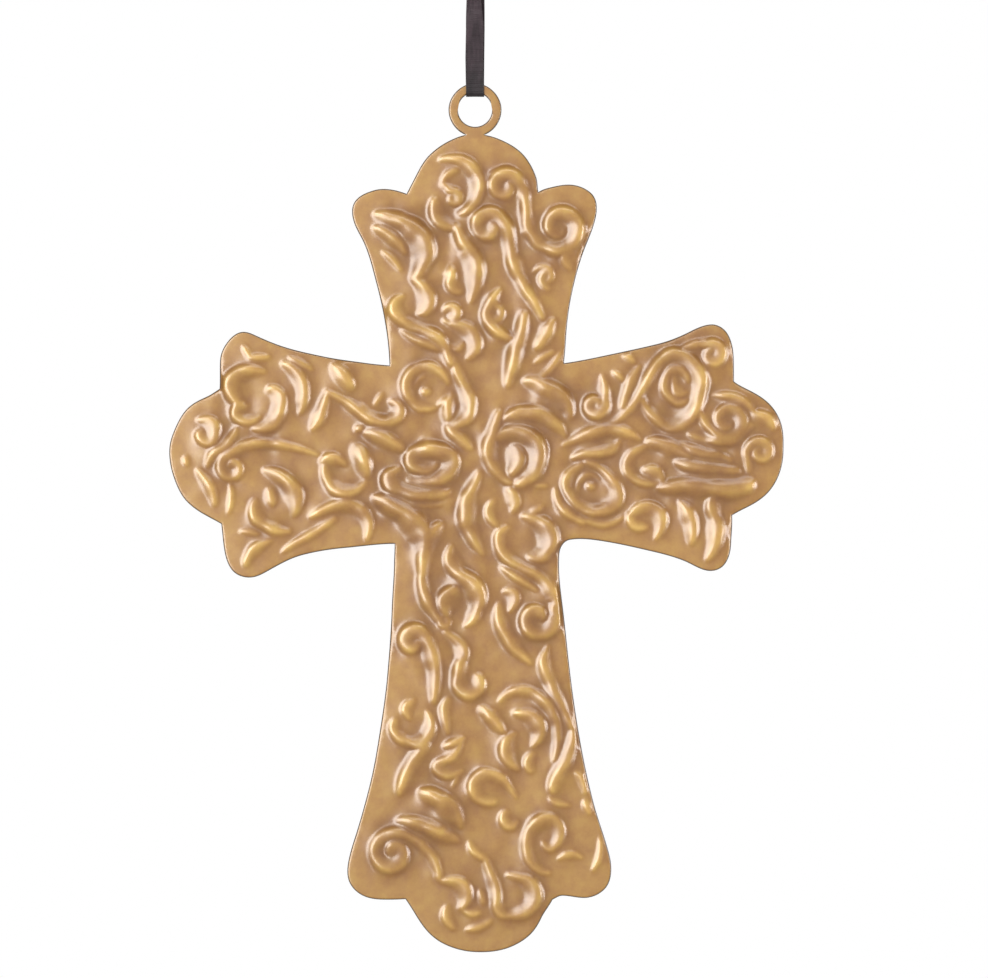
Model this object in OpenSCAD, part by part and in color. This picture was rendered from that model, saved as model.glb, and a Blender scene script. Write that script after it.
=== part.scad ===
// A small hanging cross of stamped sheet iron: one flat plate with trefoil arms and raised
// scrollwork, a flat hanging ring cut in one with it, and a loop of narrow ribbon through the ring.
// X is to the right, Z is up and the front looks along -Y. The origin is the hang point, where the
// ribbon loop sits on its hook. Sizes are in millimetres.

/* [Plate] */
// Height of the cross from its foot to the top lobe, without the ring
cross_h = 142.9; // [120:0.1:240]
// Thickness of the sheet
sheet_t = 1; // [0.8:0.1:2]
// Height of the tallest scroll above the sheet
relief_h = 1.2; // [0.8:0.1:2.5]

/* [Ring] */
// Outer radius of the hanging ring
ring_r = 4.65; // [4.2:0.05:6]
// Radius of the hole through the ring
ring_hole_r = 3; // [2.6:0.05:3.4]
// Thickness of the ring
ring_t = 1.2; // [1.1:0.1:2.2]
// Width of the neck between the ring and the plate
neck_w = 3.2; // [2:0.1:5]

/* [Ribbon] */
// Width of the ribbon
ribbon_w = 3.15; // [2:0.05:3.3]
// Thickness of the ribbon
ribbon_t = 0.22; // [0.15:0.01:0.3]
// How far the ring's centre hangs below the hang point
ring_drop = 24; // [23:0.5:26]

/* [Hidden] */
drawn_h = 142.9; // height of the drawing that the tables below are made in
k = cross_h / drawn_h; // scale of the drawing
lobe_top = 55 * k; // top of the top lobe, above the arms' crossing
ring_above = 4.85; // ring centre above the top lobe
neck_root = 1.5; // how far the neck runs down into the plate
edge_steps = 3; // straight pieces to each curved span of the plate's edge
scroll_turn = 36; // degrees of turn to each piece of a scroll
scroll_len = 6; // longest piece of a scroll
foot_sink = 0.3; // how deep a scroll's foot stands in the sheet
crest_part = 0.46; // width of a scroll's flat crest against its foot
steepness = 0.7; // height of a narrow scroll against its width
fullness = 0.6; // lower is a scroll that keeps its full width nearer its ends
ring_sides = 96;
knot_sides = 20;
gold = [0.77, 0.6, 0.38];
black = [0.09, 0.075, 0.08];

// The plate's edge, clockwise from the neck: [across, up, heading in degrees], and a corner has a
// second heading, the one it leaves by. It crosses itself nowhere and closes on its first row.
plate_edge = [
    // right half of the top lobe, then the right foil of the upper arm
    [0, 55.2, 0], [4, 54.8, 338], [8.8, 51.6, 309], [10.7, 48.1, 290], [11.1, 45.4, 280, 35],
    [13.1, 46.2, 13], [16.9, 46.7, 355], [20.4, 45.2, 317], [21.3, 41.7, 262],
    [18.8, 34.3, 251], [16.8, 26.7, 259], [15.9, 18.9, 267], [15.6, 15.4, 265, 8],
    // right arm: upper foil, end lobe, lower foil
    [24.5, 17.1, 12], [32.1, 18.8, 14], [37.6, 20.9, 27], [41.3, 22.2, 5], [44.4, 20.4, 299],
    [45.4, 14.7, 270], [45.4, 12.2, 268, 322], [48.6, 10.4, 332], [51.8, 8.1, 313],
    [53.7, 4.8, 287], [54.1, 0, 269], [53.1, -4.7, 246], [50.8, -7.9, 222], [47.5, -10, 206],
    [45.1, -11.3, 212, 272], [44.9, -16.4, 267], [43.7, -20, 230], [40.7, -21, 170],
    [36.7, -19.3, 158], [29.2, -17.2, 167], [21.5, -15.7, 172], [16.6, -15.6, 190],
    // right side of the lower arm
    [14.8, -18, 265], [15.4, -27.4, 277], [16.7, -39.1, 277], [18.4, -50.6, 280],
    [20.9, -62.1, 285], [23.2, -69.5, 286], [23.9, -73.3, 270], [22.7, -76.9, 225],
    [19.2, -78.4, 181], [15.3, -78, 180], [13.6, -78.7, 205, 243],
    // bottom lobe
    [11.6, -82, 245], [9.4, -85.1, 221], [6, -87.1, 201], [0.2, -87.9, 178], [-5.4, -86.5, 154],
    [-8.5, -84.1, 131], [-10.7, -80.9, 121], [-12.2, -78.6, 125, 184],
    // left side of the lower arm
    [-15.3, -78.7, 180], [-19.2, -78.2, 159], [-22, -75.7, 115], [-22.2, -71.9, 79],
    [-20.6, -66.3, 73], [-18.5, -58.7, 76], [-17, -51.1, 81], [-15.4, -39.4, 85],
    [-14.6, -27.6, 88], [-14.2, -19.7, 89], [-14.1, -16.3, 90, 180],
    // left arm: lower foil, end lobe, upper foil
    [-22.7, -17, 185], [-30.4, -18.3, 195], [-35.7, -20.7, 209], [-39.3, -22.2, 184],
    [-42.7, -20.8, 127], [-44, -17.2, 99], [-44.5, -12.8, 97, 150], [-47.6, -11.1, 150],
    [-50.7, -8.7, 132], [-52.6, -5.3, 111], [-53.6, 0.5, 86], [-52.5, 4.2, 66],
    [-50.4, 7.5, 45], [-47.1, 9.5, 24], [-44.8, 10.9, 32, 86], [-44.7, 16, 86],
    [-43.1, 19.5, 49], [-40.6, 20.9, 0], [-37.9, 20, 336], [-34.2, 18.5, 341],
    [-26.7, 16.6, 348], [-18.9, 15.4, 352], [-15, 15, 355, 92],
    // left foil of the upper arm, then the left half of the top lobe
    [-15.6, 21.4, 99], [-17.2, 29, 105], [-19.5, 36.5, 114], [-21.2, 40, 109],
    [-21.1, 43.7, 57], [-17.8, 45.7, 17], [-13.9, 45.7, 347], [-12, 45.1, 338, 63],
    [-10.1, 48.8, 63], [-7.9, 52, 44], [-4.7, 54.3, 27]
];

// Scrolls of the upper arm
top_scrolls = [
    [[0.6, 2, 0.8], [], [-6.2, 51, 28], [-3, 51.2, -6], [0.8, 46.6, -90], [-0.6, 43, -138],
     [-2.8, 41.6, -172]],
    [[0.8, 2, 1.2], [], [-7, 44.2, -112], [-6.9, 41, -62], [-3.8, 39.2, -5]],
    [[1.4, 2.8, 0.5], [], [-3.4, 39.4, -62], [-1.5, 36, -50], [0.4, 31.4, -88], [-0.8, 26, -112]],
    [[0.9, 2.1, 2], [5.2, 46.4, 2.6, 40, 350, 0.8], [8.75, 44.6, -88], [9.1, 40, -88],
     [9.4, 38.8, -80]],
    [[1, 2.1, 2], [14.9, 39.3, 4.2, -112, 400, 1], [10.6, 37, 125], [9.2, 40, 93]],
    [[1, 1.9, 0.4], [], [18, 36.8, -120], [15.9, 34, -100], [16.8, 31.8, -55]],
    [[0.9, 2.3, 1.2], [2.2, 39.3, 2.8, 50, 350, 0.8], [5.9, 38.6, -75], [6.5, 34, -86],
     [7.9, 30.3, -60], [9.8, 27, -55], [11.8, 23.4, -65]],
    [[0.8, 3.1, 1.5], [], [-17.5, 41.5, 0], [-11.9, 39.9, -25], [-8.4, 35.5, -85], [-10.6, 30.3, -125]],
    [[1.4, 2.2, 0.5], [], [-10.8, 30.4, -45], [-8, 27.2, -70], [-8.2, 25.2, -115], [-10.2, 24, -170]],
    [[0.5, 1.9, 0.5], [], [-17.8, 39.2, -10], [-14.6, 37.6, -38], [-12.2, 34.6, -62]],
    [[0.6, 2.1, 1.6], [], [-12.6, 27.2, 190], [-14.4, 25.2, -92], [-12, 22.3, -38], [-8, 20.8, -20],
     [-5.2, 18.2, -68], [-4.2, 15.6, -60]],
    [[1, 2.1, 0.6], [], [-4.6, 22.4, -5], [-1, 21.4, -38], [0.4, 18.8, -90], [-1.4, 16.2, -155]],
    [[0.5, 1.9, 0.6], [], [-4.2, 32.4, -75], [-4.2, 29.8, -108], [-2.3, 28, 10]],
    [[0.8, 2, 1.4], [], [4.3, 28.4, -125], [2.1, 24.6, -105], [2.9, 21.9, -50], [6.4, 19.7, -30]],
    [[0.9, 2.5, 2.2], [], [8.7, 24, -98], [7.8, 20, -104], [6.4, 14.5, -103], [4.9, 9, -105]],
    [[0.6, 2.2, 0.5], [], [13.7, 23.2, -115], [12.5, 20.4, -122], [10.5, 17.9, -140]]
];
// Scrolls of the crossing
centre_scrolls = [
    [[0.8, 1.8, 0.6], [], [-4.8, 12, 115], [-8.3, 15, 180], [-12.2, 11.6, -92], [-10.4, 7.9, -42],
     [-7, 7.5, 12]],
    [[0.6, 2.1, 1.2], [], [-3.4, 15.6, -95], [-2.2, 12, -60], [-0.7, 8.2, -92], [-1.9, 5.2, -150],
     [-4.2, 4.4, 170]],
    [[1.4, 2.3, 0.5], [], [-4.7, 4.2, -55], [-3.2, 2.7, -38], [-0.6, 0.4, -45]],
    [[0.8, 1.9, 0.8], [], [-4.3, 9.6, -110], [-4.7, 7.4, -88], [-4.9, 5.2, -100]],
    [[0.7, 2.4, 1.2], [], [-6.6, -2.2, 235], [-9, -3.4, 172], [-11.4, -1.7, 92], [-7.4, 0.4, 0],
     [-3.8, -2, -90], [-6.6, -5.2, -168], [-11.6, -5.2, 170]],
    [[0.8, 2.7, 0.8], [], [-13.2, -2.9, -140], [-15.4, -4.9, -92], [-12.2, -7.1, -18], [-7.6, -7.7, 0],
     [-4.4, -7, 20]],
    [[0.6, 3.3, 2.8], [], [-17.8, -8.1, -12], [-12.6, -10.6, -30], [-9.2, -14, -68],
     [-8.9, -16.5, -92]],
    [[2.2, 2.3, 0.9], [], [4.9, 9, -105], [3.3, 4, -106], [2.4, 0.4, -90], [3.6, -3.2, -52],
     [6.2, -5.6, -22]],
    [[0.8, 2.9, 0.9], [], [3.6, 1.8, 65], [6.9, 3.4, 0], [11.3, -0.4, -90], [9.2, -5, -150],
     [7.2, -5.9, 175]],
    [[0.9, 2.1, 1.9], [], [6.6, 0.6, 0], [8, -1.4, -90], [6.4, -3.7, -140]],
    [[0.7, 2.4, 0.5], [], [5, 5.4, 48], [9.3, 6.9, -3], [14.2, 4.9, -42], [15.8, 2.4, -75]],
    [[0.8, 2.9, 0.6], [], [8.6, 12.3, 0], [13.4, 10.8, -25], [16.4, 7.8, -72], [16.7, 5.8, -100]],
    [[1, 2.5, 0.4], [], [0.7, -3.8, -105], [-1, -7.6, -118], [-1.8, -11.2, -85], [-0.6, -15, -62],
     [1.5, -18.2, -50]],
    [[0.7, 2.5, 0.8], [], [8.2, -11.4, -5], [11.4, -12.3, -28], [13.5, -15, -85], [12.2, -18.2, -130],
     [9.4, -18.6, 165]]
];
// Scrolls of the left arm
left_scrolls = [
    [[0.5, 2.1, 1.4], [], [-36.8, 13.9, 160], [-40.2, 14.2, 190], [-43.3, 11.4, -90],
     [-41.4, 8.4, -35]],
    [[0.8, 2.1, 0.6], [], [-36.2, 10.8, 35], [-33.9, 9, -88], [-35, 5.2, -122], [-39, 3.9, 175]],
    [[0.6, 2, 0.5], [], [-33.8, 15.4, -12], [-30.6, 13, -62], [-29.9, 9.2, -92], [-30.8, 6.4, -112]],
    [[0.8, 2.4, 0.7], [], [-24.8, 15, -38], [-22.7, 12.9, -52], [-21.6, 11, -75]],
    [[0.8, 1.9, 0.8], [], [-26, 10.4, -20], [-22.6, 8.7, -28], [-18.2, 5.6, -22], [-15, 5.2, 5],
     [-12.9, 6.9, 88], [-14.8, 8.7, 165]],
    [[1, 2, 0.6], [], [-26, 9.8, -105], [-26.9, 6.6, -105], [-28.6, 3.8, -130]],
    [[0.6, 2.5, 0.8], [], [-19.6, 3.2, -5], [-15.8, 2.2, -24], [-12.6, 0.2, -40]],
    [[0.8, 2.6, 1], [], [-20.7, 0.9, -42], [-19.4, -1.8, -72], [-19, -4.2, -90]],
    [[1.1, 1.8, 0.5], [], [-26.4, -2.8, -95], [-25.2, -6.3, -52], [-22.4, -7.4, 0], [-19, -5.4, 40]],
    [[0.6, 1.9, 0.9], [], [-28.9, -11.6, 30], [-25.4, -9.8, 22], [-22.2, -9.3, -5], [-18.5, -12.4, -80],
     [-18.9, -15.4, -102]],
    [[1, 1.9, 0.9], [], [-38.7, -8.8, -112], [-38.8, -11.2, -72], [-36, -13.5, -28],
     [-32.6, -14.1, -3]],
    [[0.7, 2.4, 0.5], [], [-37, -3.3, 0], [-33.4, -4.8, -40], [-31, -8.2, -88], [-31.8, -11.4, -115]],
    [[0.8, 1.8, 0.5], [-42.6, -2.9, 2.3, 125, 390, 0.6], [-40.8, 0.9, 25], [-36.5, 1.5, -3],
     [-31, 0.5, -14], [-27.4, -0.8, -25]],
    [[0.6, 1.8, 1.2], [], [-48.6, 5.4, 15], [-46.6, 5.5, -15], [-45.4, 3.8, -95], [-46.8, 1.6, 180],
     [-48.5, 3, 88]]
];
// Scrolls of the right arm
right_scrolls = [
    [[0.9, 2, 0.4], [21, 8.1, 2, 10, -430, 0.4], [22.9, 10.6, 95], [22.3, 13.4, 98]],
    [[0.6, 2.2, 1.4], [], [23.6, 4.9, 10], [27, 7.2, 48], [29.6, 11.2, 62], [33.6, 16.7, 35],
     [37.4, 16.3, -32], [39.9, 12, -88], [38, 6.2, -125], [34.4, 4.2, 180], [31.4, 5.9, 140],
     [29.5, 8.8, 115]],
    [[0.8, 1.8, 0.5], [41.6, 16.9, 2.1, 110, -380, 0.7], [38.4, 18.7, 195], [35.8, 17.7, 212]],
    [[0.9, 1.9, 0.6], [44.4, 5.4, 3.2, -110, 400, 0.9], [40.8, 4.3, 135], [39.5, 7.4, 95]],
    [[0.7, 2.5, 0.8], [], [30, 1.5, 20], [33.2, 1.2, -15], [38, -1.2, -28]],
    [[0.5, 2.3, 0.6], [], [35.5, 1.4, -20], [40, -0.4, -10], [45, -1.8, -35]],
    [[0.5, 2.8, 0.8], [], [35, -1.8, -22], [40, -2.9, -8], [46.4, -3.6, -8]],
    [[1, 3.3, 2.1], [], [32, -6.4, 0], [38, -6.2, -2], [43.5, -6.8, -2], [48.2, -6, 25]],
    [[0.6, 1.8, 0.9], [], [29.4, -3.5, 22], [31.8, -3.6, -35], [32.6, -5.8, -100]],
    [[0.5, 2.2, 0.5], [], [15.4, 1, 28], [19.5, 2.9, 22], [23.6, 3.8, 2], [28.9, 2, -40]],
    [[0.5, 1.8, 1], [], [25.4, 1.9, -120], [23.4, -0.1, -165], [20, -0.5, 180], [17.2, -1.2, 205]],
    [[1, 1.9, 1], [], [19.4, -1.9, -12], [23.4, -4.3, -48], [25.3, -8, -95], [22.4, -10.6, -172],
     [18, -9.4, 138], [15.9, -5.6, 88], [18.6, -2.4, 25]],
    [[1, 1.9, 0.4], [], [27.4, -11.3, 70], [30.2, -9.6, 0], [33, -12.2, -90], [31.6, -15.6, -120]],
    [[0.7, 2.1, 0.5], [], [35.8, -8.6, -50], [38, -12, -75], [37.8, -16.4, -108]],
    [[1.1, 2.3, 0.6], [], [42.3, -7.9, -160], [41.4, -10, -80], [42.7, -13.8, -88],
     [40.6, -19.2, -128]]
];
// Scrolls of the lower arm
lower_scrolls = [
    [[1, 2.4, 1.6], [], [-6, -12.8, -150], [-8.7, -16.8, -106], [-9.2, -22, -92]],
    [[1.4, 2.2, 0.8], [], [-9.4, -21.8, -88], [-8.5, -26, -70], [-6.4, -29.8, -60]],
    [[0.7, 2.5, 0.4], [], [-4.2, -16.6, -105], [-4.6, -19, -80], [-2.8, -21.3, -30], [0.8, -25, -80],
     [0.3, -28.4, -105], [-1.8, -30.8, -145]],
    [[0.9, 2.5, 1.2], [], [-3.2, -24.6, 170], [-5.5, -26.4, -95], [-4.9, -28.7, -70]],
    [[1.4, 2.1, 0.9], [-0.8, -40.6, 2.3, 180, 215, 1.8], [-2.2, -36.4, 62], [-2.4, -34, 125],
     [-5.2, -31.6, 140]],
    [[1, 2.4, 1.2], [-10.9, -33.4, 2.2, 60, 300, 0.8], [-8, -34.2, -66], [-7, -37.8, -83],
     [-6.9, -41.4, -95], [-7.2, -43.8, -98]],
    [[0.5, 1.9, 0.8], [], [-8.4, -45.6, -60], [-7.5, -48.2, -90], [-9.2, -51.2, -138],
     [-12.2, -50.8, 168], [-14.4, -48.8, 110], [-14, -47.2, 50]],
    [[0.8, 2.2, 1.2], [], [-8, -51.4, -148], [-11.2, -54.8, -120], [-13.2, -59.8, -102]],
    [[0.8, 2.9, 0.6], [], [-9.7, -59.7, -2], [-5.6, -61.2, -28], [-2.6, -66, -82]],
    [[0.5, 2.7, 0.5], [], [-13.8, -64.8, 5], [-8.6, -65.8, -22], [-2.9, -68.4, -38]],
    [[0.9, 1.9, 1.2], [-14.4, -70.6, 4, 65, 450, 0.8], [-9.8, -68.6, -35], [-7.1, -71.6, -60],
     [-6.2, -74.4, -72]],
    [[0.8, 1.9, 0.6], [], [-6, -75.4, 10], [-3.2, -75.4, -12], [-1.2, -77.8, -88], [-2.7, -80.3, -150]],
    [[0.8, 1.9, 1.2], [], [1.8, -71.6, -72], [3.2, -75, -68], [3.8, -79.2, -98], [5, -81.5, -20]],
    [[0.6, 2.1, 1], [], [5.6, -74.4, 12], [8.6, -74.9, -15], [10.9, -77.8, -88], [9, -80.8, -148],
     [5.2, -81.5, 178]],
    [[0.5, 1.8, 1.2], [], [7.2, -60.8, 125], [5.4, -58, 130], [2.2, -56.4, 175], [-0.5, -58.8, -92],
     [1, -61.3, -25], [3.2, -61.6, 15]],
    [[0.8, 1.9, 0.5], [], [13, -74, 180], [9.3, -71.2, 108], [9.4, -67, 72], [12.5, -64.3, 5],
     [15.1, -66.9, -92], [13.4, -69.7, -150], [11.9, -68.5, 100]],
    [[0.8, 2.2, 1.2], [], [17.3, -48.8, -92], [16.8, -52.4, -105], [14.6, -56.4, -125],
     [13.6, -59.6, -80]],
    [[1, 2.1, 1], [10.9, -29.4, 3.5, 20, -360, 1], [14.4, -25.6, 112], [11.2, -22, 146],
     [7.4, -19.9, 155], [4.6, -17.8, 118], [4, -15.4, 88], [5.4, -13.4, 25]],
    [[0.7, 2.2, 0.4], [], [4.2, -26.6, -100], [4.2, -29.4, -80], [6, -33.4, -58], [9.9, -37.4, -48]],
    [[0.6, 2.1, 0.6], [], [12.9, -34.2, -112], [12, -37.4, -80], [14.2, -42.6, -62], [17, -48.8, -68]],
    [[0.5, 1.9, 0.6], [], [4.2, -44, 55], [8.2, -41.8, 2], [12.7, -44.4, -50], [14.5, -49.6, -88],
     [13.8, -54.4, -108]],
    [[0.5, 2.1, 0.6], [], [6.8, -46, 8], [9.5, -46.2, -15], [11.6, -48.5, -88], [10.1, -51.8, -142]],
    [[1, 2, 0.7], [], [6.8, -49.6, -150], [5.1, -52.4, -90], [7.6, -55.8, -35]],
    [[0.6, 2.2, 0.6], [], [0.8, -44.8, -22], [3, -46.9, -42], [5.2, -49.4, -50]]
];

// The ribbon's middle line down the front strand: [behind the ring's middle, above its centre]. It
// starts under the knot, opens round the hook, and turns under the top of the ring's hole.
front_strand = [
    [-0.7, 28], [-1.2, 26.8], [-1.55, 25.4], [-1.6, 24], [-1.5, 22], [-1.35, 19], [-1.2, 16],
    [-1.05, 13], [-0.95, 10], [-0.88, 7], [-0.83, 5], [-0.8, 3.6], [-0.72, 2.8], [-0.5, 2.46],
    [-0.2, 2.36]
];
knot_h = 29.4; // knot's middle above the ring's centre
knot_size = [4.2, 2.8, 3.4]; // across, through and up
tail_w = 2.8; // the ribbon's two loose ends above the knot
tails = [ // [across, through, up] where each end leaves the knot and where it stops
    [[-0.6, -0.5, 29.6], [-3.6, -1.3, 37]],
    [[0.6, 0.5, 29.6], [3, 1.1, 36]]
];

// How far apart two headings are, from 0 to 180 degrees
function turned(a, b) = abs((b - a + 1260) % 360 - 180);

// Strength of the two tangents that makes a span between two headings close to a round arc
function pull(a, b) = let (half = turned(a, b) / 2)
    half < 1.5 ? 1 : half < 77 ? (half * PI / 180) / sin(half) : 1.6;

function towards(a) = [cos(a), sin(a)];

// Smooth span from p, leaving on heading a, to q, arriving on heading b; q itself is left out
function span(p, a, q, b, n) = let (m = norm(q - p) * pull(a, b))
    [for (i = [0 : n - 1]) let (t = i / n)
        (2 * t ^ 3 - 3 * t ^ 2 + 1) * p + (t ^ 3 - 2 * t ^ 2 + t) * m * towards(a)
        + (3 * t ^ 2 - 2 * t ^ 3) * q + (t ^ 3 - t ^ 2) * m * towards(b)];

function spot(row) = [row[0], row[1]];
function leaving(row) = row[len(row) - 1];

function edge_points(rows) = [for (i = [0 : len(rows) - 1])
    let (here = rows[i], next = rows[(i + 1) % len(rows)])
    each span(spot(here), leaving(here), spot(next), next[2], edge_steps)];

// A scroll's curl, [centre x, centre y, outer radius, outer angle, turn going in, eye radius],
// drawn from its eye outwards; the outermost point is left out
function curl_points(c) = len(c) == 0 ? [] : let (n = max(4, round(abs(c[4]) / scroll_turn)))
    [for (i = [0 : n - 1]) let (f = i / n)
        [c[0], c[1]] + (c[5] + (c[2] - c[5]) * f) * towards(c[3] + c[4] * (1 - f))];

// Stations of a scroll, with the outer end of its curl put first
function stations(row) = let (c = row[1], rest = [for (i = [2 : 1 : len(row) - 1]) row[i]])
    len(c) == 0 ? rest : concat(
        [[c[0] + c[2] * cos(c[3]), c[1] + c[2] * sin(c[3]), c[3] - (c[4] > 0 ? 90 : -90)]], rest);

function pieces(a, b) = ceil(max(1, turned(leaving(a), b[2]) / scroll_turn,
    norm(spot(b) - spot(a)) / scroll_len));

function scroll_points(row) = let (s = stations(row), last = len(s) - 1)
    concat(curl_points(row[1]),
        [for (i = [0 : 1 : last - 1])
            each span(spot(s[i]), leaving(s[i]), spot(s[i + 1]), s[i + 1][2], pieces(s[i], s[i + 1]))],
        [spot(s[last])]);

// Distance along a line of points, at each of them
function along(pts) = [for (i = 0, run = 0; i < len(pts);
    run = run + (i + 1 < len(pts) ? norm(pts[i + 1] - pts[i]) : 0), i = i + 1) run];

// Width at part t of a scroll's length, from its widths at the start, the widest and the end
function width_at(w, t) = let (ends = w[0] + (w[2] - w[0]) * t)
    ends + (w[1] - ends) * max(0, sin(180 * t)) ^ fullness;

// Unit vector to the left of the line at one of its points
function left_of(pts, i) = let (
    step = pts[min(i + 1, len(pts) - 1)] - pts[max(i - 1, 0)], long = max(norm(step), 0.001))
    [-step[1], step[0]] / long;

// Closed skin round rings of equal length: the sides in pairs of triangles, and the two ends
function skin(n, sides) = concat(
    [for (i = [0 : n - 2]) for (j = [0 : sides - 1]) let (
        a = i * sides + j, b = i * sides + (j + 1) % sides)
        each [[a, b + sides, b], [a, a + sides, b + sides]]],
    [[for (j = [0 : sides - 1]) j], [for (j = [sides - 1 : -1 : 0]) (n - 1) * sides + j]]);

// One raised scroll: two sloping sides and a flat crest, its foot standing in the sheet
module scroll(row) {
    pts = scroll_points(row);
    run = along(pts);
    rings = [for (i = [0 : len(pts) - 1]) let (
        w = width_at(row[0], run[i] / run[len(pts) - 1]),
        high = min(relief_h, w * steepness),
        crest = w / 2 * crest_part,
        foot = w / 2 + (w / 2 - crest) * foot_sink / high,
        side = left_of(pts, i),
        at = pts[i])
        each [
            [at[0] + side[0] * foot, at[1] + side[1] * foot, -foot_sink],
            [at[0] + side[0] * crest, at[1] + side[1] * crest, high],
            [at[0] - side[0] * crest, at[1] - side[1] * crest, high],
            [at[0] - side[0] * foot, at[1] - side[1] * foot, -foot_sink]
        ]];
    polyhedron(rings, skin(len(pts), 4));
}

module scrolls() {
    for (table = [top_scrolls, centre_scrolls, left_scrolls, right_scrolls, lower_scrolls]) {
        for (row = table) {
            scroll(row);
        }
    }
}

// The stamped plate lying on its back, with its full height set by the sheet and the relief
module plate() {
    resize([0, 0, sheet_t + relief_h]) {
        union() {
            linear_extrude(sheet_t) {
                scale(k) {
                    polygon(edge_points(plate_edge));
                }
            }
            translate([0, 0, sheet_t]) {
                scale([k, k, 1]) {
                    scrolls();
                }
            }
        }
    }
}

module ring() {
    translate([0, lobe_top + ring_above, (sheet_t - ring_t) / 2]) {
        linear_extrude(ring_t) {
            difference() {
                union() {
                    circle(ring_r, $fn = ring_sides);
                    translate([-neck_w / 2, -ring_above - neck_root]) {
                        square([neck_w, ring_above + neck_root]);
                    }
                }
                circle(ring_hole_r, $fn = ring_sides);
            }
        }
    }
}

// Stands a part up: what was drawn upwards goes to Z and what faced up looks along -Y
module stand() {
    translate([0, 0, -ring_drop]) {
        rotate([90, 0, 0]) {
            translate([0, -lobe_top - ring_above, -sheet_t / 2]) {
                children();
            }
        }
    }
}

module cross() {
    color(gold) {
        stand() {
            union() {
                plate();
                ring();
            }
        }
    }
}

// A flat band of width w along points [across, through, up], its thickness across its own run
module band(pts, w) {
    rings = [for (i = [0 : len(pts) - 1]) let (
        step = pts[min(i + 1, len(pts) - 1)] - pts[max(i - 1, 0)],
        out = [0, step[2], -step[1]] / norm([step[1], step[2]]) * ribbon_t / 2,
        half = w / 2,
        soft = half - ribbon_t / 2)
        each [
            pts[i] + [half, 0, 0] + out / 2,
            pts[i] + [soft, 0, 0] + out,
            pts[i] + [-soft, 0, 0] + out,
            pts[i] + [-half, 0, 0] + out / 2,
            pts[i] + [-half, 0, 0] - out / 2,
            pts[i] + [-soft, 0, 0] - out,
            pts[i] + [soft, 0, 0] - out,
            pts[i] + [half, 0, 0] - out / 2
        ]];
    polyhedron(rings, skin(len(pts), 8));
}

module ribbon() {
    back_strand = [for (i = [len(front_strand) - 1 : -1 : 0]) [-front_strand[i][0], front_strand[i][1]]];
    loop = [for (p = concat(front_strand, back_strand)) [0, p[0], p[1]]];
    color(black) {
        translate([0, 0, -ring_drop]) {
            union() {
                band(loop, ribbon_w);
                translate([0, 0, knot_h]) {
                    scale(knot_size / 2) {
                        sphere(1, $fn = knot_sides);
                    }
                }
                for (tail = tails) {
                    band(tail, tail_w);
                }
            }
        }
    }
}

cross();
ribbon();
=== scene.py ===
"""Looks of the hanging cross: stamped gold plate with its ring, and a black ribbon loop.

The tables are drawn in millimetres round the crossing of the arms, x to the right and y up, as in
the part's construction. The model is in metres, with the hang point at the origin.
"""
import math

import bpy
import numpy as np
from mathutils.geometry import delaunay_2d_cdt
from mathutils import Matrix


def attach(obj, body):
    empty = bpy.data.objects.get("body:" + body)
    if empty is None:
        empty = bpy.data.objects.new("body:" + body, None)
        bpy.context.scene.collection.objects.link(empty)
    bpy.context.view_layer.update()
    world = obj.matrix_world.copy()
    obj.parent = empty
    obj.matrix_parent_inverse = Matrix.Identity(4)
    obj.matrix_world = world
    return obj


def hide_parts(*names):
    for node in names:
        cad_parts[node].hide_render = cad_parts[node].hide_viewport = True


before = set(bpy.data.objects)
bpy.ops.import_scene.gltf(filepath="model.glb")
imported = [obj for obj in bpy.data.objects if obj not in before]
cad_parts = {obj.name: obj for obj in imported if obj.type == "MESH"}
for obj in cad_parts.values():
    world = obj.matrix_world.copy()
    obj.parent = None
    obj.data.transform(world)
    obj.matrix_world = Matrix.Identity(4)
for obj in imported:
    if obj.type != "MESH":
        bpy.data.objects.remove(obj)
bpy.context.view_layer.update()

MM = 0.001
HANG = 83.85  # height of the hang point above the arms' crossing
RING_Y = 59.85  # height of the ring's centre above the arms' crossing
RING_R = 4.65
RING_HOLE_R = 3.0
SHEET_T = 1.0  # thickness of the sheet
RELIEF_H = 0.7  # height of the tallest scroll


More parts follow.
